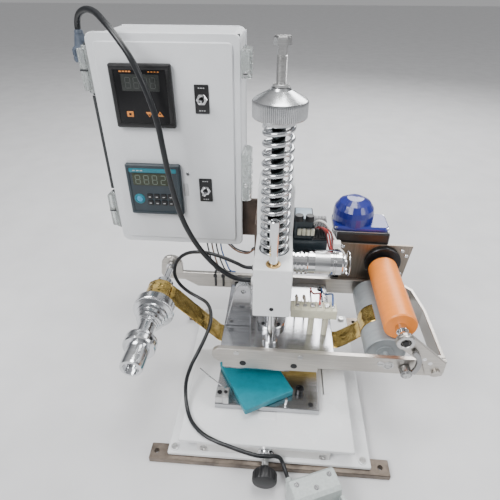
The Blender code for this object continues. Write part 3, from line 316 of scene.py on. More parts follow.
class Piece:
    """Several shapes in millimetres that become one object."""

    def __init__(self):
        self.bm = bmesh.new()

    def take(self, part, place=None):
        bmesh.ops.recalc_face_normals(part, faces=part.faces)
        if place is not None:
            part.transform(place)
        mesh = bpy.data.meshes.new("part")
        part.to_mesh(mesh)
        part.free()
        self.bm.from_mesh(mesh)
        bpy.data.meshes.remove(mesh)
        return self

    def block(self, x, y, z, bevel=0.5, segments=2, place=None):
        part = bmesh.new()
        bmesh.ops.create_cube(part, size=1.0)
        for vert in part.verts:
            vert.co = Vector([lim[0] + (lim[1] - lim[0]) * (c + 0.5)
                              for lim, c in zip((x, y, z), vert.co)])
        if bevel:
            bmesh.ops.bevel(part, geom=part.edges[:], offset=bevel, segments=segments,
                            affect="EDGES", profile=0.5)
        return self.take(part, place)

    def lathe(self, profile, centre, axis="Z", segments=48, wobble=None):
        """Revolves (radius, height) points; a profile from 0 to 0 is solid, others rings."""
        part = bmesh.new()
        rings = []
        for radius, height in profile:
            if radius < 1e-6:
                rings.append([part.verts.new((0, 0, height))])
                continue
            ring = []
            for i in range(segments):
                a = 2 * math.pi * i / segments
                r = radius + (wobble(i, radius, height) if wobble else 0.0)
                ring.append(part.verts.new((r * math.cos(a), r * math.sin(a), height)))
            rings.append(ring)
        pairs = list(zip(rings, rings[1:]))
        if len(rings[0]) > 1:
            pairs.append((rings[-1], rings[0]))
        for low, high in pairs:
            for i in range(segments):
                j = (i + 1) % segments
                loop = list(dict.fromkeys([low[i % len(low)], low[j % len(low)],
                                           high[j % len(high)], high[i % len(high)]]))
                if len(loop) > 2:
                    part.faces.new(loop)
        return self.take(part, toward(centre, axis))

    def prism(self, outline, plane, span, bevel=0.0, segments=2, place=None):
        put = {"XY": lambda u, v, w: (u, v, w), "XZ": lambda u, v, w: (u, w, v),
               "YZ": lambda u, v, w: (w, u, v)}[plane]
        part = bmesh.new()
        near = [part.verts.new(put(u, v, span[0])) for u, v in outline]
        far = [part.verts.new(put(u, v, span[1])) for u, v in outline]
        part.faces.new(near)
        part.faces.new(list(reversed(far)))
        for i in range(len(near)):
            j = (i + 1) % len(near)
            part.faces.new((near[i], near[j], far[j], far[i]))
        bmesh.ops.recalc_face_normals(part, faces=part.faces)
        if bevel:
            rims = [e for e in part.edges if len({v in near for v in e.verts}) == 1]
            bmesh.ops.bevel(part, geom=rims, offset=bevel, segments=segments,
                            affect="EDGES", profile=0.5)
        return self.take(part, place)

    def tube(self, points, radius, sides=12):
        """A closed round tube along points, turning no more than it must."""
        points = [Vector(p) for p in points]
        part = bmesh.new()
        tangents = []
        for i in range(len(points)):
            ahead, behind = points[min(i + 1, len(points) - 1)], points[max(i - 1, 0)]
            tangents.append((ahead - behind).normalized())
        side = tangents[0].orthogonal().normalized()
        rings = []
        for point, along in zip(points, tangents):
            side = (side - along * side.dot(along)).normalized()
            other = along.cross(side)
            rings.append([part.verts.new(point + radius * (side * math.cos(a)
                                                           + other * math.sin(a)))
                          for a in (2 * math.pi * k / sides for k in range(sides))])
        for low, high in zip(rings, rings[1:]):
            for k in range(sides):
                m = (k + 1) % sides
                part.faces.new((low[k], low[m], high[m], high[k]))
        part.faces.new(list(reversed(rings[0])))
        part.faces.new(rings[-1])
        return self.take(part)

    def socket_screw(self, centre, axis, radius, height):
        r, h = radius, height
        hexagon = r * 0.52
        return self.lathe([(0, -1), (r, -1), (r, h - 0.3), (r - 0.3, h), (hexagon, h),
                           (hexagon, h * 0.45), (0, h * 0.45)], centre, axis, 24)

    def slot_screw(self, centre, axis, radius, height):
        place = toward(centre, axis)
        half = radius * 0.13
        start = math.degrees(math.asin(half / radius))
        for turn in (0, 180):
            outline = arc((0, 0), radius, start + turn, 180 - start + turn, 14)
            self.prism(outline, "XY", (-0.8, height), 0.25, 1, place)
        return self.lathe([(0, -0.9), (radius, -0.9), (radius, height * 0.4),
                           (0, height * 0.4)], centre, axis, 24)

    def hex_nut(self, centre, axis, radius, height, bore):
        return self.lathe([(bore, 0), (radius, 0), (radius, height - 0.4),
                           (radius - 0.5, height), (bore, height)], centre, axis, 6)

    def done(self, name, material, body, slot=None, smooth=34, modify=None):
        """One object from the shapes; its slot has its material's name.

        Blender numbers a material whose name the CAD has already taken, as in chrome.001.
        The slot argument is not used.
        """
        bmesh.ops.scale(self.bm, vec=(MM, MM, MM), verts=self.bm.verts)
        mesh = bpy.data.meshes.new(name)
        self.bm.to_mesh(mesh)
        self.bm.free()
        mesh.shade_smooth()
        mesh.set_sharp_from_angle(angle=math.radians(smooth))
        mesh.materials.append(material)
        made = bpy.data.objects.new(name, mesh)
        bpy.context.scene.collection.objects.link(made)
        if modify:
            modify(made)
        if body:
            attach(made, body)
        return made


def screws(name, material, body, spots, axis, radius, height):
    """Socket screws of one size, as one object."""
    made = Piece()
    for spot in spots:
        made.socket_screw(spot, axis, radius, height)
    return made.done(name, material, body)


# ---------------------------------------------------------------- cords

MAINS_RADIUS, FOOT_RADIUS = 3.5, 2.5
MAINS_ROUTE = (
    (-242, 92, 448.8), (-241.8, 91.8, 457), (-235, 85, 468), (-222, 75, 474), (-206, 61, 473),
    (-191, 46, 465), (-177, 35, 453), (-164, 28, 437), (-154, 24, 417), (-146, 22, 394),
    (-140, 21, 368), (-137, 20, 340), (-134, 20, 309), (-129, 20, 275), (-120, 20, 239),
    (-104, 21, 203), (-84, 22, 175), (-62, 23, 156), (-46, 23, 151.2), (-34.9, 23, 151),
)
FOOT_ROUTE = (
    (-32.9, 23, 173), (-43, 23, 173.6), (-54, 24.5, 178), (-71, 27, 184), (-89, 30, 188),
    (-107, 33, 188), (-124, 36.5, 183), (-137, 38, 173), (-145, 37.5, 159), (-146, 34, 145),
    (-139, 29, 133), (-126, 25, 122.5), (-111, 20, 117), (-98, 12, 115), (-90, -1, 111),
    (-88, -19, 105), (-92, -40, 98), (-99, -58, 89), (-107, -72, 76), (-112, -84, 60),
    (-111, -97, 46), (-106, -112, 39.2), (-97, -128, 38.8), (-82, -142, 38.8),
    (-63, -151, 38.6), (-45, -155.5, 36.5), (-27, -159.5, 34.5), (-12, -161.5, 33),
    (0, -160, 31), (8.5, -157, 27), (14.5, -156, 21.5), (18.5, -159.5, 16),
    (21.3, -166.8, 14.2), (24.5, -175.2, 14),
)


def make_cord(name, route, radius):
    """A flex as one open curve through its route, standing for its CAD solid."""
    points = smooth_line(route, 8)
    curve = bpy.data.curves.new(name + "_flex", "CURVE")
    curve.dimensions = "3D"
    curve.bevel_depth = radius * MM
    curve.bevel_resolution = 5
    curve.use_fill_caps = True
    spline = curve.splines.new("POLY")
    spline.points.add(len(points) - 1)
    for held, point in zip(spline.points, points):
        held.co = (*(point * MM), 1.0)
    spline.use_smooth = True
    curve.materials.append(CABLE)
    flex = bpy.data.objects.new(name + "_flex", curve)
    bpy.context.scene.collection.objects.link(flex)
    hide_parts(name)
    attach(flex, "base")


make_cord("mains_cable", MAINS_ROUTE, MAINS_RADIUS)


# ---------------------------------------------------------------- light and floor

def make_studio():
    bm = bmesh.new()
    bmesh.ops.create_grid(bm, x_segments=1, y_segments=1, size=9.0)
    mesh = bpy.data.meshes.new("floor")
    bm.to_mesh(mesh)
    bm.free()
    floor = bpy.data.objects.new("floor", mesh)
    floor.location.z = -0.0004
    bpy.context.scene.collection.objects.link(floor)
    mesh.materials.append(surface("floor_paper", (0.66, 0.66, 0.67), 0.75, vary=0.01, scale=4,
                                  smudge=0.02))
    world = bpy.data.worlds.new("studio")
    world.use_nodes = True
    nodes, links = world.node_tree.nodes, world.node_tree.links
    place = nodes.new("ShaderNodeTexCoord")
    split = nodes.new("ShaderNodeSeparateXYZ")
    ramp = nodes.new("ShaderNodeValToRGB")
    ramp.color_ramp.elements[0].position = 0.0
    ramp.color_ramp.elements[0].color = (0.62, 0.62, 0.63, 1)
    ramp.color_ramp.elements[1].position = 0.85
    ramp.color_ramp.elements[1].color = (1.0, 1.0, 1.0, 1)
    middle = ramp.color_ramp.elements.new(0.28)
    middle.color = (0.2, 0.205, 0.22, 1)
    links.new(place.outputs["Generated"], split.inputs["Vector"])
    links.new(split.outputs["Z"], ramp.inputs["Fac"])
    links.new(ramp.outputs["Color"], nodes["Background"].inputs["Color"])
    nodes["Background"].inputs["Strength"].default_value = 0.62
    bpy.context.scene.world = world
    for name, spot, size, power in (
            ("key", (-0.9, -1.0, 1.5), 0.8, 36), ("fill", (1.4, -0.7, 1.1), 0.7, 11),
            ("back", (0.5, 1.4, 1.3), 0.9, 26), ("top", (0.1, 0.1, 1.9), 0.7, 20)):
        lamp = bpy.data.lights.new(name, "AREA")
        lamp.size, lamp.energy = size, power
        holder = bpy.data.objects.new(name, lamp)
        holder.location = spot
        aim = Vector((-0.02, -0.02, 0.2)) - Vector(spot)
        holder.rotation_euler = aim.to_track_quat("-Z", "Y").to_euler()
        bpy.context.scene.collection.objects.link(holder)


make_studio()


# ---------------------------------------------------------------- ram, spring and cap

HEAD_X, RAM_Y, GUIDE_Y = -4.0, -25.0, -58
SEAT_Z, CAP_LOW = 232.7, 385.5


def make_spring():
    """Round wire helix whose end turns close up."""
    turns, mean, wire = 14.5, 14.4, 2.6
    low, high = SEAT_Z + wire, CAP_LOW - 0.3 - wire
    per_turn, dead = 40, 0.9
    points = []
    for i in range(int(turns * per_turn) + 1):
        turn = i / per_turn
        eased = min(max(turn - dead * 0.5, 0.0), turns - dead) / (turns - dead)
        a = 2 * math.pi * turn
        points.append((HEAD_X + mean * math.cos(a), RAM_Y + mean * math.sin(a),
                       low + (high - low) * eased))
    made = Piece().tube(points, wire, 14).done("return_spring_wire", SPRING_STEEL, "base",
                                               "chrome", 60)
    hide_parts("return_spring")
    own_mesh(made)


def make_cap():
    """Knurled adjusting nut: skirt, knurled rim and a stepped cone."""
    teeth = 84

    def knurl(i, radius, height):
        return -0.8 if (radius > 26.9 and (i + round(height)) % 2) else 0.0

    profile = [(7.4, 385.5), (16.2, 385.5), (17, 386.3), (17, 391.6), (25.6, 391.6),
               (27, 392.8), (27, 397), (27, 401), (27, 405), (27, 407.4), (26.3, 408.6),
               (24.8, 409.6), (23.2, 410.6), (10.4, 417.4), (9.6, 418.6), (9.0, 419.5),
               (7.4, 419.5)]
    made = Piece().lathe(profile, (HEAD_X, RAM_Y, 0), "Z", teeth * 2, knurl).done(
        "knurled_cap_nut", KNURLED, "cap", "knurled_steel", 26)
    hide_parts("knurled_cap")
    Piece().lathe([(0, 419.8), (7.6, 419.8), (7.6, 420.6), (6.6, 421.4), (4.5, 421.4),
                   (4.5, 420.9), (0, 420.9)], (HEAD_X, RAM_Y, 0), "Z", 32).done(
        "stop_bolt_washer", BRUSHED, "ram")
    threads = Piece()
    for i in range(18):
        z = 424.5 + 1.25 * i
        threads.lathe([(4.2, z), (4.95, z + 0.45), (4.95, z + 0.7), (4.2, z + 1.15)],
                      (HEAD_X, RAM_Y, 0), "Z", 24)
    threads.done("stop_bolt_threads", BRUSHED, "ram")
    Piece().lathe([(9.4, 233.0), (17.4, 233.0), (17.4, 233.1), (9.4, 233.1)],
                  (HEAD_X, RAM_Y, 0), "Z", 40).done("spring_seat_washer", GROUND, "base",
                                                    "polished_steel")


make_spring()
make_cap()


# ---------------------------------------------------------------- rollers, reel and foil

FEED_X, FEED_Z = 141.0, 112.0
PRESS_X, PRESS_Z = 151.0, 158.5
REEL_X, REEL_Z = -158.0, 140.0


def make_rollers():
    grey = Piece().lathe([(0, -80.4), (3.6, -80.4), (4, -80), (4, -62), (11, -62), (11, -60.6),
                          (22.5, -60.6), (23, -62), (24.2, -62), (25, -61), (25, 55),
                          (24, 56), (4, 56), (4, 83.5), (0, 84)],
                         (FEED_X, 0, FEED_Z), "Y", 96)
    grey = grey.done("feed_roller_drum", GREY_ROLLER, "feed")
    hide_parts("feed_roller")
    orange = Piece().lathe([(5.5, -62), (18.6, -62), (20, -60.4), (20, 54.4), (18.6, 56),
                            (5.5, 56)], (PRESS_X, 0, PRESS_Z), "Y", 96)
    orange = orange.done("pressure_roller_sleeve", ORANGE, "pressure")
    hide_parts("pressure_roller")
    Piece().lathe([(0, -83.5), (3.5, -83.5), (4, -83), (4, -70), (6.6, -70), (7, -69.6),
                   (7, -62.4), (5.4, -62.4), (5.4, 60.6), (5, 61), (0, 61)],
                  (PRESS_X, 0, PRESS_Z), "Y", 48).done("pressure_roller_axle", CHROME,
                                                       "pressure")
    Piece().lathe([(9, 56.3), (15.8, 56.3), (17.5, 57), (17.5, 60.4), (9, 60.4)],
                  (PRESS_X, 0, PRESS_Z), "Y", 48).done("pressure_roller_end_ring",
                                                       BLACK_PLASTIC, "pressure")


def make_reel():
    profile = [(5.4, 20), (12.4, 20), (12.4, -29), (26.4, -29), (27, -29.6), (27, -40.4),
               (26.4, -41), (25.4, -41.2), (25.2, -43), (21.2, -45), (20.5, -45.4),
               (20.4, -50), (18.6, -51), (18.2, -51.4), (18, -56), (16.2, -57), (15.8, -57.4),
               (15.5, -61), (13.6, -62), (13.4, -63), (12.2, -63.6), (12.2, -66), (11.2, -66.6),
               (11, -87), (13, -88.4), (19, -90), (20, -91), (20, -94), (19.3, -94.6),
               (19.3, -96), (20, -96.6), (20, -102), (18.9, -104), (13.8, -104.5),
               (13.5, -105), (13.5, -131), (12.6, -133.6), (9.6, -134), (9, -133.4),
               (9, -130), (5.4, -130)]
    spool = Piece().lathe(profile, (REEL_X, 0, REEL_Z), "Y", 96)
    spool = spool.done("supply_reel_spool", TURNED, "reel", "aluminium", 28)
    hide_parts("supply_reel")
    Piece().socket_screw((REEL_X + 15, -98, REEL_Z + 12.9), (0.75, 0, 0.66), 2.4, 0.8).done(
        "supply_reel_grub_screw", BLACK_STEEL, "reel", "aluminium")
    steps, rings = 120, 26
    profile = [(12.9, -28.4)]
    profile += [(19.4, -28.2 + 33.2 * k / rings) for k in range(rings + 1)]
    profile += [(12.9, 5.2)]

    def crease(i, radius, height):
        if radius < 15:
            return 0.0
        a = 2 * math.pi * i / steps
        spot = Vector((math.cos(a) * 2.2, math.sin(a) * 2.2, height * 0.16))
        return (0.85 * noise.noise(spot) + 0.4 * noise.noise(spot * 2.7)
                - 0.25 * abs(noise.noise(spot * 5.3)) - 0.2)

    roll = Piece().lathe(profile, (REEL_X, 0, REEL_Z), "Y", steps, crease)
    roll = roll.done("foil_roll_wound", GOLD, "reel", "gold_foil", 60)
    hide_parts("foil_roll")
    core = Piece().lathe([(5.5, -126), (7.6, -126), (7.6, -129.6), (5.5, -129.6)],
                         (REEL_X, 0, REEL_Z), "Y", 32)
    core.done("reel_spindle_end_ring", BLACK_STEEL, "ram")


def make_web():
    """Foil from the reel, flat under the die and up round the feed roller, lightly creased."""
    lane = 80.0
    line = [(REEL_X + 17.9, REEL_Z + 10.6), (-127.5, 136.8), (-112, 120.3), (-95, 102.4),
            (-82, 88.6), (-76, lane + 2.4), (-70, lane)]
    line += [(-70 + 11 * k, lane) for k in range(1, 15)]
    line += [(90, lane + 1.0)]
    line += arc((FEED_X, FEED_Z), 25.5, 197, 112, 20)
    rows = [Vector((x, 0, z)) for x, z in line]
    dense = smooth_line(rows, 3)
    low, high, across = -27.7, 3.7, 14
    bm = bmesh.new()
    grid = []
    for i, point in enumerate(dense):
        ahead, behind = dense[min(i + 1, len(dense) - 1)], dense[max(i - 1, 0)]
        along = (ahead - behind).normalized()
        normal = Vector((-along.z, 0, along.x))
        on_roller = (Vector((FEED_X, 0, FEED_Z)) - point).length < 26.5
        free = 0.0 if (on_roller or -78 < point.x < 92) else 1.0
        row = []
        for k in range(across + 1):
            y = low + (high - low) * k / across
            spot = Vector((point.x * 0.07, y * 0.12, point.z * 0.07))
            lift = (1.1 * noise.noise(spot) + 0.5 * noise.noise(spot * 2.6)) * (0.08 + free)
            row.append(bm.verts.new(point + normal * lift * (0.9 if free else 0.35)
                                    + Vector((0, y, 0))))
        grid.append(row)
    for low_row, high_row in zip(grid, grid[1:]):
        for k in range(across):
            bm.faces.new((low_row[k], low_row[k + 1], high_row[k + 1], high_row[k]))
    piece = Piece()
    piece.bm.free()
    piece.bm = bm

    def thicken(made):
        modifier = made.modifiers.new("thickness", "SOLIDIFY")
        modifier.thickness = 0.12 * MM
        modifier.offset = 0.0

    web = piece.done("foil_web_sheet", GOLD, "ram", "gold_foil", 60, thicken)
    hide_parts("foil_web")


make_rollers()
make_reel()
make_web()


# ---------------------------------------------------------------- control box and its door

DOOR_FACE, PANEL_FACE = 62.0, 54.7
INSTRUMENTS = ((-164.5, 387.5), (-165.0, 268.5))
TOGGLES = ((-96.0, 385.0), (-98.0, 268.5))
BUTTON_X, BUTTON_Z = -187.0, 256.0
HINGE_X, HINGE_Y = -227.5, 70.0
SEVEN = {"a": ((-1, 2), (1, 2)), "b": ((1, 0), (1, 2)), "c": ((1, -2), (1, 0)),
         "d": ((-1, -2), (1, -2)), "e": ((-1, -2), (-1, 0)), "f": ((-1, 0), (-1, 2)),
         "g": ((-1, 0), (1, 0))}


def digit_bars(piece, x, z, scale, y, lit="abcdefg"):
    """The lit bars of one seven-segment digit on a face at y."""
    for key in lit:
        (u0, v0), (u1, v1) = SEVEN[key]
        width = 0.16 * scale
        if u0 == u1:
            box = ((x + u0 * scale - width, x + u0 * scale + width),
                   (z + v0 * scale + width, z + v1 * scale - width))
        else:
            box = ((x + u0 * scale + width, x + u1 * scale - width),
                   (z + v0 * scale - width, z + v0 * scale + width))
        piece.block(box[0], (y - 0.12, y + 0.2), box[1], 0)


def bezel_ring(x, z, outer, inner, y, depth):
    """A square frame proud of an instrument's face."""
    ring = Piece()
    for span_x, span_z in (((x - outer, x + outer), (z + inner, z + outer)),
                           ((x - outer, x + outer), (z - outer, z - inner)),
                           ((x - outer, x - inner), (z - inner, z + inner)),
                           ((x + inner, x + outer), (z - inner, z + inner))):
        ring.block(span_x, (y - depth, y + 0.2), span_z, 0.35)
    return ring


def make_controller():
    x, z = INSTRUMENTS[0]
    face = PANEL_FACE
    bezel_ring(x, z, 34.2, 30.2, face, 0.9).done("controller_rim", BLACK_PLASTIC, "door")
    Piece().prism(rounded((x - 30, x + 30), (z - 30, z + 30), 2), "XZ", (face - 0.45, face + 0.2),
                  0.3).done("controller_fascia", SCREEN, "door", "black_plastic")
    window = Piece()
    window.prism(rounded((x - 22, x + 22), (z + 7, z + 25), 1), "XZ", (face - 0.8, face), 0.2)
    window.done("controller_windows", DIM, "door", "black_plastic")
    marks = Piece()
    for i in range(4):
        digit_bars(marks, x - 14.5 + 9.6 * i, z + 16, 2.9, face - 0.8)
    marks.done("controller_digits", GHOST, "door", "black_plastic")
    ink = Piece()
    for i in range(4):
        left = x - 23 + 3.6 * i
        ink.block((left, left + 2.6), (face - 0.6, face), (z + 27.4, z + 28.8), 0)
        ink.block((left + 33, left + 35), (face - 0.6, face), (z + 27.4, z + 28.4), 0)
    for left, kind in ((x - 17, "box"), (x + 6, "down"), (x + 19, "up")):
        if kind == "box":
            ink.prism(rounded((left - 4, left + 4), (z - 22.4, z - 16), 0.8), "XZ",
                      (face - 1.1, face), 0.2)
        else:
            tip = 1 if kind == "up" else -1
            ink.prism([(left - 4, z - 19 - 2.6 * tip), (left + 4, z - 19 - 2.6 * tip),
                       (left, z - 19 + 3.4 * tip)], "XZ", (face - 1.1, face), 0.2)
    ink.done("controller_keys", ORANGE_INK, "door", "black_plastic")
    centres = Piece()
    centres.block((x - 18.4, x - 15.6), (face - 1.3, face - 0.8), (z - 20.5, z - 17.9), 0)
    for left, tip in ((x + 6, -1), (x + 19, 1)):
        centres.block((left - 0.9, left + 0.9), (face - 1.3, face - 0.8),
                      (z - 19.9 + 0.6 * tip, z - 18.3 + 0.6 * tip), 0)
    centres.done("controller_key_centres", SCREEN, "door", "black_plastic")


def make_counter():
    x, z = INSTRUMENTS[1]
    face = PANEL_FACE
    bezel_ring(x, z, 34.4, 31.2, face, 0.9).done("counter_rim", SLATE, "door", "dark_plastic")
    Piece().prism(rounded((x - 31, x + 31), (z + 25.2, z + 31), 1.5), "XZ",
                  (face - 0.6, face + 0.2), 0.2).done("counter_band", TEAL_BAND, "door",
                                                      "cyan_plastic")
    Piece().prism(rounded((x - 27.5, x + 20.5), (z + 7.5, z + 24), 1.5), "XZ",
                  (face - 1.0, face + 0.2), 0.3).done("counter_window", OLIVE, "door",
                                                      "dark_plastic")
    digits = Piece()
    for i in range(4):
        digit_bars(digits, x - 20.5 + 11.2 * i, z + 15.6, 3.0, face - 1.0,
                   "abcdefg" if i < 3 else "abdeg")
    digits.done("counter_digits", SEGMENT, "door", "dark_plastic")
    keys = Piece()
    for i in range(4):
        for k in range(2):
            left, low = x - 11.5 + 9.4 * i, z - 12 + 9.2 * k - 9
            keys.prism(rounded((left, left + 7.6), (low, low + 7.2), 1.4, 4), "XZ",
                       (face - 1.3, face + 0.2), 0.4)
    keys.done("counter_keys", BLACK_PLASTIC, "door")
    small = Piece()
    for i in range(4):
        for k in range(2):
            left, low = x - 9.2 + 9.4 * i, z - 9.6 + 9.2 * k - 9
            small.block((left, left + 3), (face - 1.5, face - 1.1), (low, low + 0.9), 0)
    for i in range(3):
        small.block((x - 26 + 5 * i, x - 23 + 5 * i), (face - 0.8, face), (z + 27.4, z + 28.6), 0)
    small.done("counter_key_marks", WHITE_INK, "door", "black_plastic")
    Piece().lathe([(5.0, 0), (7.2, 0), (7.2, 0.6), (6.4, 1.1), (5.0, 1.1)],
                  (BUTTON_X, face, BUTTON_Z), "-Y", 40).done(
        "start_button_ring", TEAL_BAND, "door", "cyan_plastic")


def make_door_fittings():
    plates, ticks, nuts = Piece(), Piece(), Piece()
    for x, z in TOGGLES:
        outline = rounded((x - 8.5, x + 8.5), (z - 16.5, z + 16.5), 1.2)
        plates.prism(outline, "XZ", (DOOR_FACE - 1.1, DOOR_FACE - 0.02), 0.3)
        nuts.hex_nut((x, DOOR_FACE - 1.1, z), "-Y", 6.8, 2.2, 3.8)
        nuts.lathe([(3.5, 0), (5.2, 0), (5.2, 3.0), (4.8, 3.4), (3.5, 3.4)],
                   (x, DOOR_FACE - 1.1, z), "-Y", 28)
        for step in (-13.4, 12.2):
            for k in range(3):
                ticks.block((x - 3.8 + 2.8 * k, x - 2.0 + 2.8 * k),
                            (DOOR_FACE - 1.25, DOOR_FACE - 1.0), (z + step, z + step + 1.0), 0)
    plates.done("toggle_plates", BLACK_PLASTIC, "door")
    nuts.done("toggle_nuts", CHROME, "door")
    ticks.done("toggle_marks", WHITE_INK, "door", "black_plastic")
    Piece().prism(rounded((-127.4, -121.5), (259, 277), 0.8), "XZ",
                  (DOOR_FACE - 0.45, DOOR_FACE - 0.02), 0.1).done(
        "door_blank_label", WHITE_INK, "door", "box_grey")
    Piece().slot_screw((-120.4, DOOR_FACE, 291), "-Y", 2.4, 1.2).done(
        "door_screw", CHROME, "door")
    # Painted shade: a dark strip just outside the box's front rim and down the hinge side,
    # standing in for the shaded gap behind the door's edge.
    gap_shade = Piece()
    outer = (-223.3, -51.7), (183.7, 452.3)
    for x, z in (((outer[0][0], outer[0][1]), (outer[1][1] - 1.2, outer[1][1])),
                 ((outer[0][0], outer[0][1]), (outer[1][0], outer[1][0] + 1.2)),
                 ((outer[0][0], outer[0][0] + 1.2), outer[1]),
                 ((outer[0][1] - 1.2, outer[0][1]), outer[1])):
        gap_shade.block(x, (71.6, 74.6), z, 0.3)
    gap_shade.block((-231.4, -222.2), (70.6, 73.4), (262, 384), 0.4)
    gap_shade.done("box_gap_shade_strip", SEAL, "base", "black_rubber")
    hinges, pins = Piece(), Piece()
    for low, high in ((388, 440), (204, 258)):
        hinges.lathe([(2.1, 0), (4.6, 0), (5, 0.5), (5, high - low - 0.5), (4.6, high - low),
                      (2.1, high - low)], (HINGE_X, HINGE_Y, low), "Z", 28)
        hinges.prism([(-228, 75), (-222.6, 75), (-222.6, 92), (-225, 94), (-229, 92),
                      (-231, 80), (-230.5, 75.2)], "XY", (low, high), 0.6)
        pins.lathe([(0, 0), (1.8, 0), (1.8, high - low + 4), (1.4, high - low + 4.6),
                    (0, high - low + 4.6)], (HINGE_X, HINGE_Y, low - 2.4), "Z", 20)
        hinges.prism(rounded((-236.4, -228.6), (low + 3, high - 3), 2.0), "XZ", (63.4, 74.0), 0.8)
        pins.block((-236.7, -228.2), (63.1, 74.3), ((low + high) / 2 - 1, (low + high) / 2 + 1),
                   0.3)
    hinges.done("box_hinge_clips", CLEAR, "base")
    pins.done("box_hinge_pins", SEAL, "base", "black_plastic")


GLAND_X, GLAND_Y = -242, 92


def make_box_details():
    rim = Piece()
    for span in ((-223.0, -221.9), (-53.1, -52.0)):
        rim.block(span, (160, 164), (188, 448), 0.3)
    rim.block((-214, -61), (160, 164), (450.8, 452.0), 0.3)
    rim.done("box_rear_rib", BOX_GREY, "base")
    slotted = Piece()
    for x in (-212, -63):
        for z in (195, 441):
            slotted.slot_screw((x, 170.0, z), "Y", 3.6, 1.0)
    slotted.done("box_rear_screws", CHROME, "base")
    knock = Piece()
    for x in (-190, -150, -110):
        knock.lathe([(8.6, 0), (9.4, 0), (9.4, 0.5), (8.6, 0.5)], (x, 110, 185), "-Z", 36)
    knock.done("box_knockouts", BOX_GREY, "base")
    for body, low, high in (("clip_upper", 409, 439), ("clip_lower", 256, 322)):
        ribs = Piece()
        for k in range(3):
            z = low + (high - low) * (k + 1) / 4
            ribs.block((-42.4, -37.0), (60.4, 84), (z - 0.7, z + 0.7), 0.3)
        ribs.block((-49.2, -40), (57.6, 58.8), (low + 2, high - 2), 0.5)
        ribs.done(body + "_ribs", CLEAR, body)
        bolt = Piece().slot_screw((-44.5, 58.0, (low + high) / 2 - 10), "-Y", 2.6, 1.0)
        bolt.lathe([(0, low - 1.2), (1.5, low - 1.2), (1.5, high + 1.2), (0, high + 1.2)],
                   (-46.5, 86.0, 0), "Z", 20)
        bolt.done(body + "_pin", CHROME, body)
    gland = Piece()
    gland.lathe([(3.7, 448.05), (5.0, 448.05), (5.0, 450.5), (4.4, 452.5), (3.7, 453)],
                (GLAND_X, GLAND_Y, 0), "Z", 32)
    gland.lathe([(10.6, 420), (11.4, 420.6), (11.4, 424.4), (10.6, 425)],
                (GLAND_X, GLAND_Y, 0), "Z", 32)
    for x, y in arc((GLAND_X, GLAND_Y), 10.6, 0, 330, 11):
        gland.block((x - 0.7, x + 0.7), (y - 0.7, y + 0.7), (426, 433), 0.3)
    gland.hex_nut((-222.4, GLAND_Y, 430), "-X", 11.5, 5, 8.1)
    gland.done("mains_gland_grip", GLAND, "base")


make_controller()
make_counter()
make_door_fittings()
make_box_details()


# ---------------------------------------------------------------- drive, head and column

MOTOR_AT = (18.3, -11, 212)


def make_drive_details():
    label = Piece().lathe([(15.1, 28), (15.35, 28), (15.35, 46), (15.1, 46)],
                          MOTOR_AT, "X", 64)
    label.done("drive_motor_band", ALUMINIUM, "base")
    rings = Piece()
    for x in (49.5, 52.0, 68.5):
        rings.lathe([(15.05, x), (15.5, x + 0.3), (15.5, x + 1.0), (15.05, x + 1.3)],
                    MOTOR_AT, "X", 64)
    rings.done("drive_motor_rings", CHROME, "base")
    Piece().slot_screw((84.8, -11, 212), "X", 3.2, 1.4).done("drive_motor_screw", WHITE_INK,
                                                             "base", "chrome")
    fins = Piece()
    for k in range(9):
        x = 45.2 + 1.9 * k
        fins.block((x, x + 0.9), (11, 45), (230.1, 246), 0.15, 1)
    fins.block((44, 61.5), (10, 46), (229.9, 232), 0.4)
    fins.done("relay_heat_sink", BLACK_HOUSING, "base")
    Piece().prism(rounded((21.5, 41.5), (15, 43), 1.5), "XY", (256.9, 257.6), 0.2).done(
        "relay_blank_label", STEEL_LABEL, "base", "dark_plastic")
    caps = Piece()
    for x in (25, 38):
        caps.lathe([(0, 257), (5.4, 257), (5.4, 263), (4.8, 264), (0, 264)], (x, 9.0 + 3.5, 0),
                   "Z", 32)
    caps.done("relay_caps", BLACK_PLASTIC, "base")
    terminals = Piece()
    for k in range(4):
        x = 24 + 5.4 * k
        terminals.block((x, x + 4.6), (7.2, 11.6), (238, 246), 0.4)
    terminals.done("relay_terminals", CERAMIC, "base")
    heads = Piece()
    for k in range(4):
        heads.slot_screw((26.3 + 5.4 * k, 9.4, 246), "Z", 1.6, 0.6)
    heads.done("relay_terminal_screws", BRUSHED, "base")


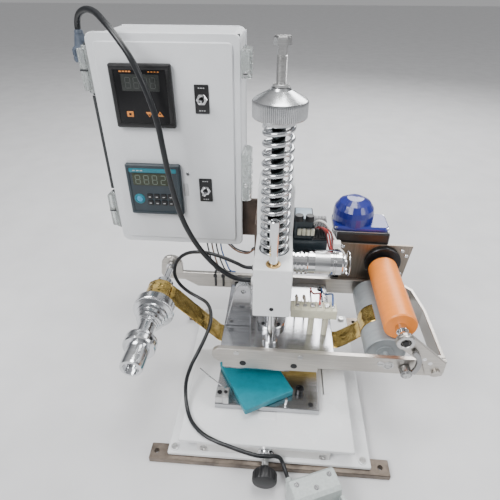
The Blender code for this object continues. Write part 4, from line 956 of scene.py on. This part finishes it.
def make_head_details():
    grubs = Piece()
    for y, z in ((GUIDE_Y, 186), (GUIDE_Y, 224), (-16, 180)):
        grubs.socket_screw((-26.0, y, z), "-X", 3.0, 0.8)
    grubs.socket_screw((HEAD_X, -69.0, 182), "-Y", 2.6, 0.6)
    grubs.done("head_grub_screws", BLACK_STEEL, "base")
    collars = Piece()
    collars.lathe([(5.4, 239.0), (8.4, 239.0), (8.4, 239.9), (7.8, 240.3), (5.4, 240.3)],
                  (HEAD_X, GUIDE_Y, 0), "Z", 40)
    collars.lathe([(5.4, 170.0), (8.4, 170.0), (8.4, 168.6), (7.9, 168.1), (5.4, 168.1)],
                  (HEAD_X, GUIDE_Y, 0), "Z", 40)
    collars.lathe([(9.2, 170.0), (13.6, 170.0), (13.6, 168.2), (13.0, 167.6), (9.2, 167.6)],
                  (HEAD_X, RAM_Y, 0), "Z", 48)
    collars.done("head_bush_flanges", BRONZE, "base")
    glands = Piece()
    glands.hex_nut((-26.1, 23, 151), "-X", 7.8, 5.5, 3.6)
    glands.lathe([(3.6, 5.5), (5.8, 5.5), (5.2, 8.6), (3.6, 8.6)], (-26.1, 23, 151), "-X", 28)
    glands.hex_nut((-26.1, 23, 173), "-X", 6.4, 4.4, 2.6)
    glands.lathe([(2.6, 4.4), (4.4, 4.4), (3.8, 7.0), (2.6, 7.0)], (-26.1, 23, 173), "-X", 28)
    glands.done("column_glands", BLACK_PLASTIC, "base")
    screws("column_rear_screws", BLACK_STEEL, "base",
           [(x, 45.0, z) for z in (60, 120, 200, 280) for x in (-18, 10)], "Y", 3.4, 1.4)
    bracket = Piece()
    for z in (204, 238):
        for y in (100, 135):
            bracket.hex_nut((-49.4, y, z), "X", 4.6, 3.0, 0.01)
    bracket.done("box_bracket_bolts", BRUSHED, "base")


make_drive_details()
make_head_details()


# ---------------------------------------------------------------- carriage details

PLATEN_TOP, BAR_FACE = 118.0, 81.0
LEVER_X, LEVER_Z = 161, 109


def make_bar_screws():
    slotted = Piece()
    for x, z in ((-45, 118), (34, 117)):
        slotted.slot_screw((x, -BAR_FACE, z), "-Y", 3.4, 1.1)
    slotted.slot_screw((131.5, -BAR_FACE, 114.5), "-Y", 4.4, 0.7)
    slotted.done("front_bar_screws", BRUSHED, "ram")
    ring = Piece()
    for x in (-37, 27):
        ring.lathe([(0, 76.6), (3.1, 76.6), (3.3, 80.7), (4.0, 80.7), (4.2, 81.3), (0, 81.3)],
                   (x, 0, 100), "-Y", 28)
    ring.done("front_bar_caps", BLACK_STEEL, "ram")
    ring = Piece().lathe([(4.6, 81.0), (6.8, 81.0), (6.8, 81.3), (6.3, 81.7), (4.6, 81.7)],
                         (FEED_X, 0, FEED_Z), "-Y", 40)
    ring.done("feed_bearing_ring", BRUSHED, "ram")
    Piece().slot_screw((FEED_X, -80.6, FEED_Z), "-Y", 4.1, 1.0).done(
        "feed_roller_end_screw", BRUSHED, "feed")
    strip = Piece()
    for y, z in ((-52, 104), (-52, 117), (26, 104), (26, 117), (40, 111)):
        x = 208.0 if y < 10 else 208.0 - (y - 10) * 7.0 / 45.0
        strip.socket_screw((x, y, z), (1, 0.15 if y > 10 else 0, 0), 3.0, 1.4)
    strip.done("end_bracket_screws", BRUSHED, "ram")
    screws("motor_plate_screws", CHROME, "ram",
           [(x, 70.3, z) for x, z in ((178, 180), (185, 172), (176, 150), (182, 140),
                                      (94, 184), (96, 160))], "-Y", 2.7, 1.3)
    ring = Piece().lathe([(13, 0), (24, 0), (25.5, 1.2), (25.5, 4.6), (24.4, 5.6), (13, 5.6)],
                         (PRESS_X + 2, 70.2, PRESS_Z + 2), "-Y", 64)
    ring.done("motor_plate_bearing_ring", BLACK_STEEL, "ram")
    screws("pressure_arm_screws", CHROME, "arm",
           [(178.5, -85.7, 131.5), (186.5, -85.7, 125.0)], "-Y", 2.9, 0.12)
    ring = Piece()
    ring.lathe([(4.5, 88.0), (6.0, 88.0), (6.4, 88.5), (9.6, 88.5), (10.2, 88.0), (10.2, 87.0),
                (4.5, 87.0)], (PRESS_X, 0, PRESS_Z), "-Y", 48)
    ring.done("pressure_bearing_face", BRUSHED, "arm")
    Piece().lathe([(0, 83.6), (3.9, 83.6), (3.9, 88.6), (3.2, 89.2), (0, 89.2)],
                  (PRESS_X, 0, PRESS_Z), "-Y", 32).done("pressure_axle_end", BLACK_STEEL,
                                                        "pressure")
    boss = Piece()
    boss.lathe([(0, 91.3), (4.6, 91.3), (4.6, 92.4), (3.9, 93.0), (2.0, 93.0), (2.0, 92.2),
                (0, 92.2)], (LEVER_X, 0, LEVER_Z), "-Y", 32)
    boss.done("release_lever_bolt", BRUSHED, "lever", "chrome")


def make_carriage_details():
    screws("platen_screws", BLACK_STEEL, "ram",
           [(66, 52, PLATEN_TOP), (-58, 54, PLATEN_TOP)], "Z", 4.0, 2.0)
    collar = Piece()
    collar.lathe([(9.1, 118.1), (19, 118.1), (19, 124.5), (18, 125.6), (9.1, 125.6)],
                 (HEAD_X, RAM_Y, 0), "Z", 56)
    collar.lathe([(5.1, 118.1), (9.6, 118.1), (9.6, 123.4), (8.8, 124.2), (5.1, 124.2)],
                 (HEAD_X, GUIDE_Y, 0), "Z", 40)
    collar.done("ram_foot_collars", GROUND, "ram", "polished_steel")
    corners = arc((HEAD_X, RAM_Y), 14.2, 45, 315, 3)
    screws("ram_foot_screws", BLACK_STEEL, "ram", [(x, y, 125.6) for x, y in corners], "Z",
           2.4, 1.2)
    post = Piece()
    for x in (47, 65):
        post.lathe([(0, 0), (3.4, 0), (3.4, 2.0), (2.6, 2.8), (0, 2.8)], (x, -39, 164.1), "Z",
                   24)
    for x in (28, 37.5, 56, 72):
        post.slot_screw((x, -39, 164.0), "Z", 2.6, 1.4)
    post.done("terminal_screws", BRUSHED, "ram")
    insert = Piece()
    for x in (24, 33, 42.5, 51.5, 61, 69.5):
        insert.block((x - 0.5, x + 0.5), (-46.6, -30.4), (163.9, 166.0), 0.2)
    insert.done("terminal_ribs", CERAMIC, "ram")
    edge = Piece()
    edge.block((-61.5, 53.5), (-74.9, -74.4), (91.7, 92.6), 0.1)
    edge.block((-61.8, 54.2), (-75.0, -74.4), (108.8, 109.8), 0.1)
    edge.done("heater_insulation", SEAL, "ram", "black_rubber")
    ties = Piece()
    for x in (-92, -80):
        y, z = (62.9, 71.1), (105.2, 128.9)
        for y_span, z_span in (((y[0] - 1, y[0]), z), ((y[1], y[1] + 1), z),
                               (y, (z[1], z[1] + 1))):
            ties.block((x - 1.6, x + 1.6), y_span, z_span, 0.3)
        ties.block((x - 2.6, x + 2.6), (y[0] - 3.4, y[0] - 0.4), (z[1] - 5, z[1] - 0.5), 0.5)
    ties.done("back_bar_ties", WIRE_COLOURS["black"], "ram", "black_plastic")


def make_gearbox_details():
    rear = Piece()
    rear.lathe([(0, 0), (31, 0), (31, 2.2), (29, 3.4), (0, 3.4)], (121, 128.0, 148), "Y", 64)
    for x, z in arc((121, 148), 24, 0, 315, 7):
        rear.lathe([(0, 3.2), (2.6, 3.2), (2.6, 5.0), (2.0, 5.4), (0, 5.4)], (x, 128.0, z), "Y",
                   20)
    rear.done("feed_gearbox_cover", BLACK_HOUSING, "ram")
    ribs = Piece()
    for k in range(7):
        z = 116 + 12 * k
        ribs.block((83.2, 84.4), (80, 122), (z, z + 4), 0.3)
        ribs.block((157.6, 158.8), (80, 122), (z, z + 4), 0.3)
    ribs.done("feed_gearbox_ribs", BLACK_HOUSING, "ram")
    screws("motor_cover_screws", CHROME, "ram",
           [(x, y, 209.3) for x in (83, 153) for y in (81, 117)], "Z", 2.6, 1.6)
    lip = Piece().prism(rounded((78.6, 157.4), (76.6, 121.4), 7.2, 6), "XY", (203.2, 204.9),
                        0.4)
    lip.done("motor_cover_gasket", ALUMINIUM, "ram")


make_bar_screws()
make_carriage_details()
make_gearbox_details()


# ---------------------------------------------------------------- bed, table and base details

ADJUSTER_AT = (-3.0, -178, 22)
PITCH = 2.0


def make_base_details():
    screws("base_corner_screws", BRUSHED, "base",
           [(x, y, 16.5) for x in (-117, 115) for y in (-148, 100)], "Z", 4.0, 1.2)
    screws("table_face_screws", BRUSHED, "base", [(-80, -150.0, 22), (66, -150.0, 22)], "-Y",
           4.4, 2.2)
    gland = Piece().lathe([(4.7, 150.0), (10.5, 150.0), (10.5, 152.2), (9.6, 153.0), (7.6, 153.0),
                           (7.6, 156.4), (7.0, 157.0), (4.7, 157.0)], (-3.0, 0, 22), "-Y", 48)
    gland.done("adjuster_bush", CHROME, "base")
    grip = Piece()

    def flute(i, radius, height):
        return -0.7 if (i % 6 in (0, 1) and radius > 14) else 0.0

    grip.lathe([(0, -10), (11, -10), (13.6, -8.6), (14.5, -7), (14.5, 1), (13.4, 3.2),
                (12.0, 3.6), (7.5, 4.5), (7, 8), (0, 8)], ADJUSTER_AT, "Y", 96, flute)
    grip = grip.done("adjuster_knob_grip", BLACK_PLASTIC, "adjuster", "black_plastic", 30)
    screw = Piece()
    turns = 50
    profile = [(0, 8.05)]
    for k in range(turns):
        y = 10.0 + PITCH * k
        profile += [(3.4, y), (4.0, y + 0.7), (4.0, y + 1.2), (3.4, y + 1.9)]
    profile += [(3.4, 111.0), (2.6, 112), (0, 112)]
    screw.lathe(profile, ADJUSTER_AT, "Y", 28)
    screw.done("adjuster_lead_screw", BRUSHED, "adjuster", "brushed_steel", 30)
    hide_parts("adjuster_knob")
    screws("bed_clamp_screws", BLACK_STEEL, "bed",
           [(52, -96, 46.0), (52, -24, 46.0), (-62, -24, 46.0)], "Z", 3.2, 0.9)
    clamp = Piece().socket_screw((-66, -94.5, 57.0), "Z", 3.0, 1.2)
    clamp.socket_screw((-57.8, -96, 60.0), "Z", 2.4, 1.0)
    clamp.done("side_clamp_screws", BLACK_STEEL, "bed")
    line = smooth_line(((-57.6, -90.5, 60.3), (-58.6, -92.2, 64), (-62, -93.6, 68.5),
                        (-72, -93.4, 79), (-82, -92.6, 89.5), (-90, -91.5, 98)), 6)
    Piece().tube(line, 0.8, 10).done("work_stop_wire", CHROME, "bed")
    cover = Piece().prism(rounded((-14.4, 8.4), (-115.6, -104.3), 1.0, 3), "XY",
                          (36.06, 36.7), 0.2)
    cover.done("bed_screw_cover", WHITE, "bed")


def make_switch_details():
    turn = (Matrix.Translation(Vector((22.0, -193.0, 0)))
            @ Matrix.Rotation(math.radians(22.0 - 90.0), 4, "Z"))
    ribs = Piece()
    for k in range(7):
        x = 42 + 7 * k
        z = 36.9 + (x - 33) * 0.1186
        ribs.block((x - 1.2, x + 1.2), (9, 46), (z - 0.9, z + 0.75), 0.4, 2, turn)
    ribs.done("foot_pedal_ribs", SEAL, "pedal", "black_rubber")
    screws("foot_switch_screws", CHROME, "base",
           [turn @ Vector((x, y, 45.0)) for x, y in ((8, 8), (8, 47), (17, 27.5))], "Z", 2.8, 1.0)
    skirt = Piece().block((1.0, 94.0), (1.0, 54.0), (0.1, 2.2), 0.4, 2, turn)
    skirt.done("foot_switch_sole", SEAL, "base", "black_rubber")


make_base_details()
make_switch_details()
make_cord("foot_cable", FOOT_ROUTE, FOOT_RADIUS)


# ---------------------------------------------------------------- wiring

def make_wires():
    def wire(name, route, radius, colour, body, blend=None):
        piece = Piece().tube(smooth_line(route, 8), radius, 10)
        made = piece.done(name, WIRE_COLOURS[colour], None if blend else body, "black_rubber")
        if blend:
            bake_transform(made)

    down = (Vector((-0.09, 0.068, 0.180)), Vector((-0.09, 0.066, 0.136)))
    for k, (x, colour) in enumerate(((-108, "black"), (-101, "brown"), (-94, "black"),
                                     (-87, "blue"))):
        route = ((x, 96, 186), (x, 95, 178), (x + 2, 88, 165 - 2 * k), (x + 7, 78, 151),
                 (x + 12, 70, 141 + k), (x + 18, 66.8, 133), (x + 26, 66.9, 130.2 + 0.3 * k))
        wire("box_lead_%d" % (k + 1), route, 1.1, colour, "base", down)
    for x, colour, k in ((-82, "brown", 1), (-78, "black", 2)):
        wire("column_lead_%d" % k, ((x, 90, 186), (x + 3, 86, 178), (x + 14, 74, 172),
                                    (x + 28, 58, 172 + 2 * k), (x + 42, 46, 178 + 3 * k),
                                    (-34, 42, 186 + 3 * k), (-27, 40, 190 + 3 * k)),
             1.2, colour, "base")
    wire("motor_lead_white", ((43.2, 16, 250), (48, 14, 256), (56, 10, 256), (62, 6, 250),
                              (67, 2, 243), (71, -3, 238)), 1.3, "white", "base")
    wire("motor_lead_white_end", ((71, -10, 234.5), (76, -13, 233), (80, -14, 229),
                                  (81, -13, 222), (80.5, -12, 219.5)), 1.0, "white", "base")
    connector = Piece().block((67, 76), (-11.5, -1.5), (232, 239.5), 0.8)
    connector.done("motor_lead_connector", WIRE_COLOURS["white"], "base", "cream_ceramic")
    for k, colour in enumerate(("maroon", "red", "maroon")):
        route = ((46 + 4 * k, 11, 247), (50 + 4 * k, 6, 252 - k), (57 + 3 * k, 2, 248),
                 (60 + 3 * k, 0, 240), (62 + 2.5 * k, -3, 232), (64 + 2 * k, -6, 227.6))
        wire("motor_lead_red_%d" % (k + 1), route, 1.0, colour, "base")
    for x, k in ((-37, 1), (27, 2)):
        wire("heater_tail_%d" % k, ((x, -17, 100), (x, -12, 100), (x, -5.0, 100)), 1.4, "braid",
             "ram")
    for x, shift, k in ((28, 0, 1), (37.5, 3, 2)):
        wire("terminal_lead_%d" % k, ((x, -38, 165.5), (x, -33, 170), (x - 1, -24, 168),
                                      (x - 1, -17, 158), (x + shift, -13, 146),
                                      (x + shift, -10, 132), (x + shift, -9, 120.5)),
             1.2, "braid", "ram")
    for x, k in ((56, 3), (72, 4)):
        wire("terminal_lead_%d" % k, ((x, -38, 165.5), (x, -31, 170.5), (x + 1, -20, 168),
                                      (x + 1, -4, 156), (x - 2, 14, 140), (x - 3, 34, 126),
                                      (x - 4, 50, 120.2)),
             1.2, "red" if k == 3 else "blue", "ram")


make_wires()
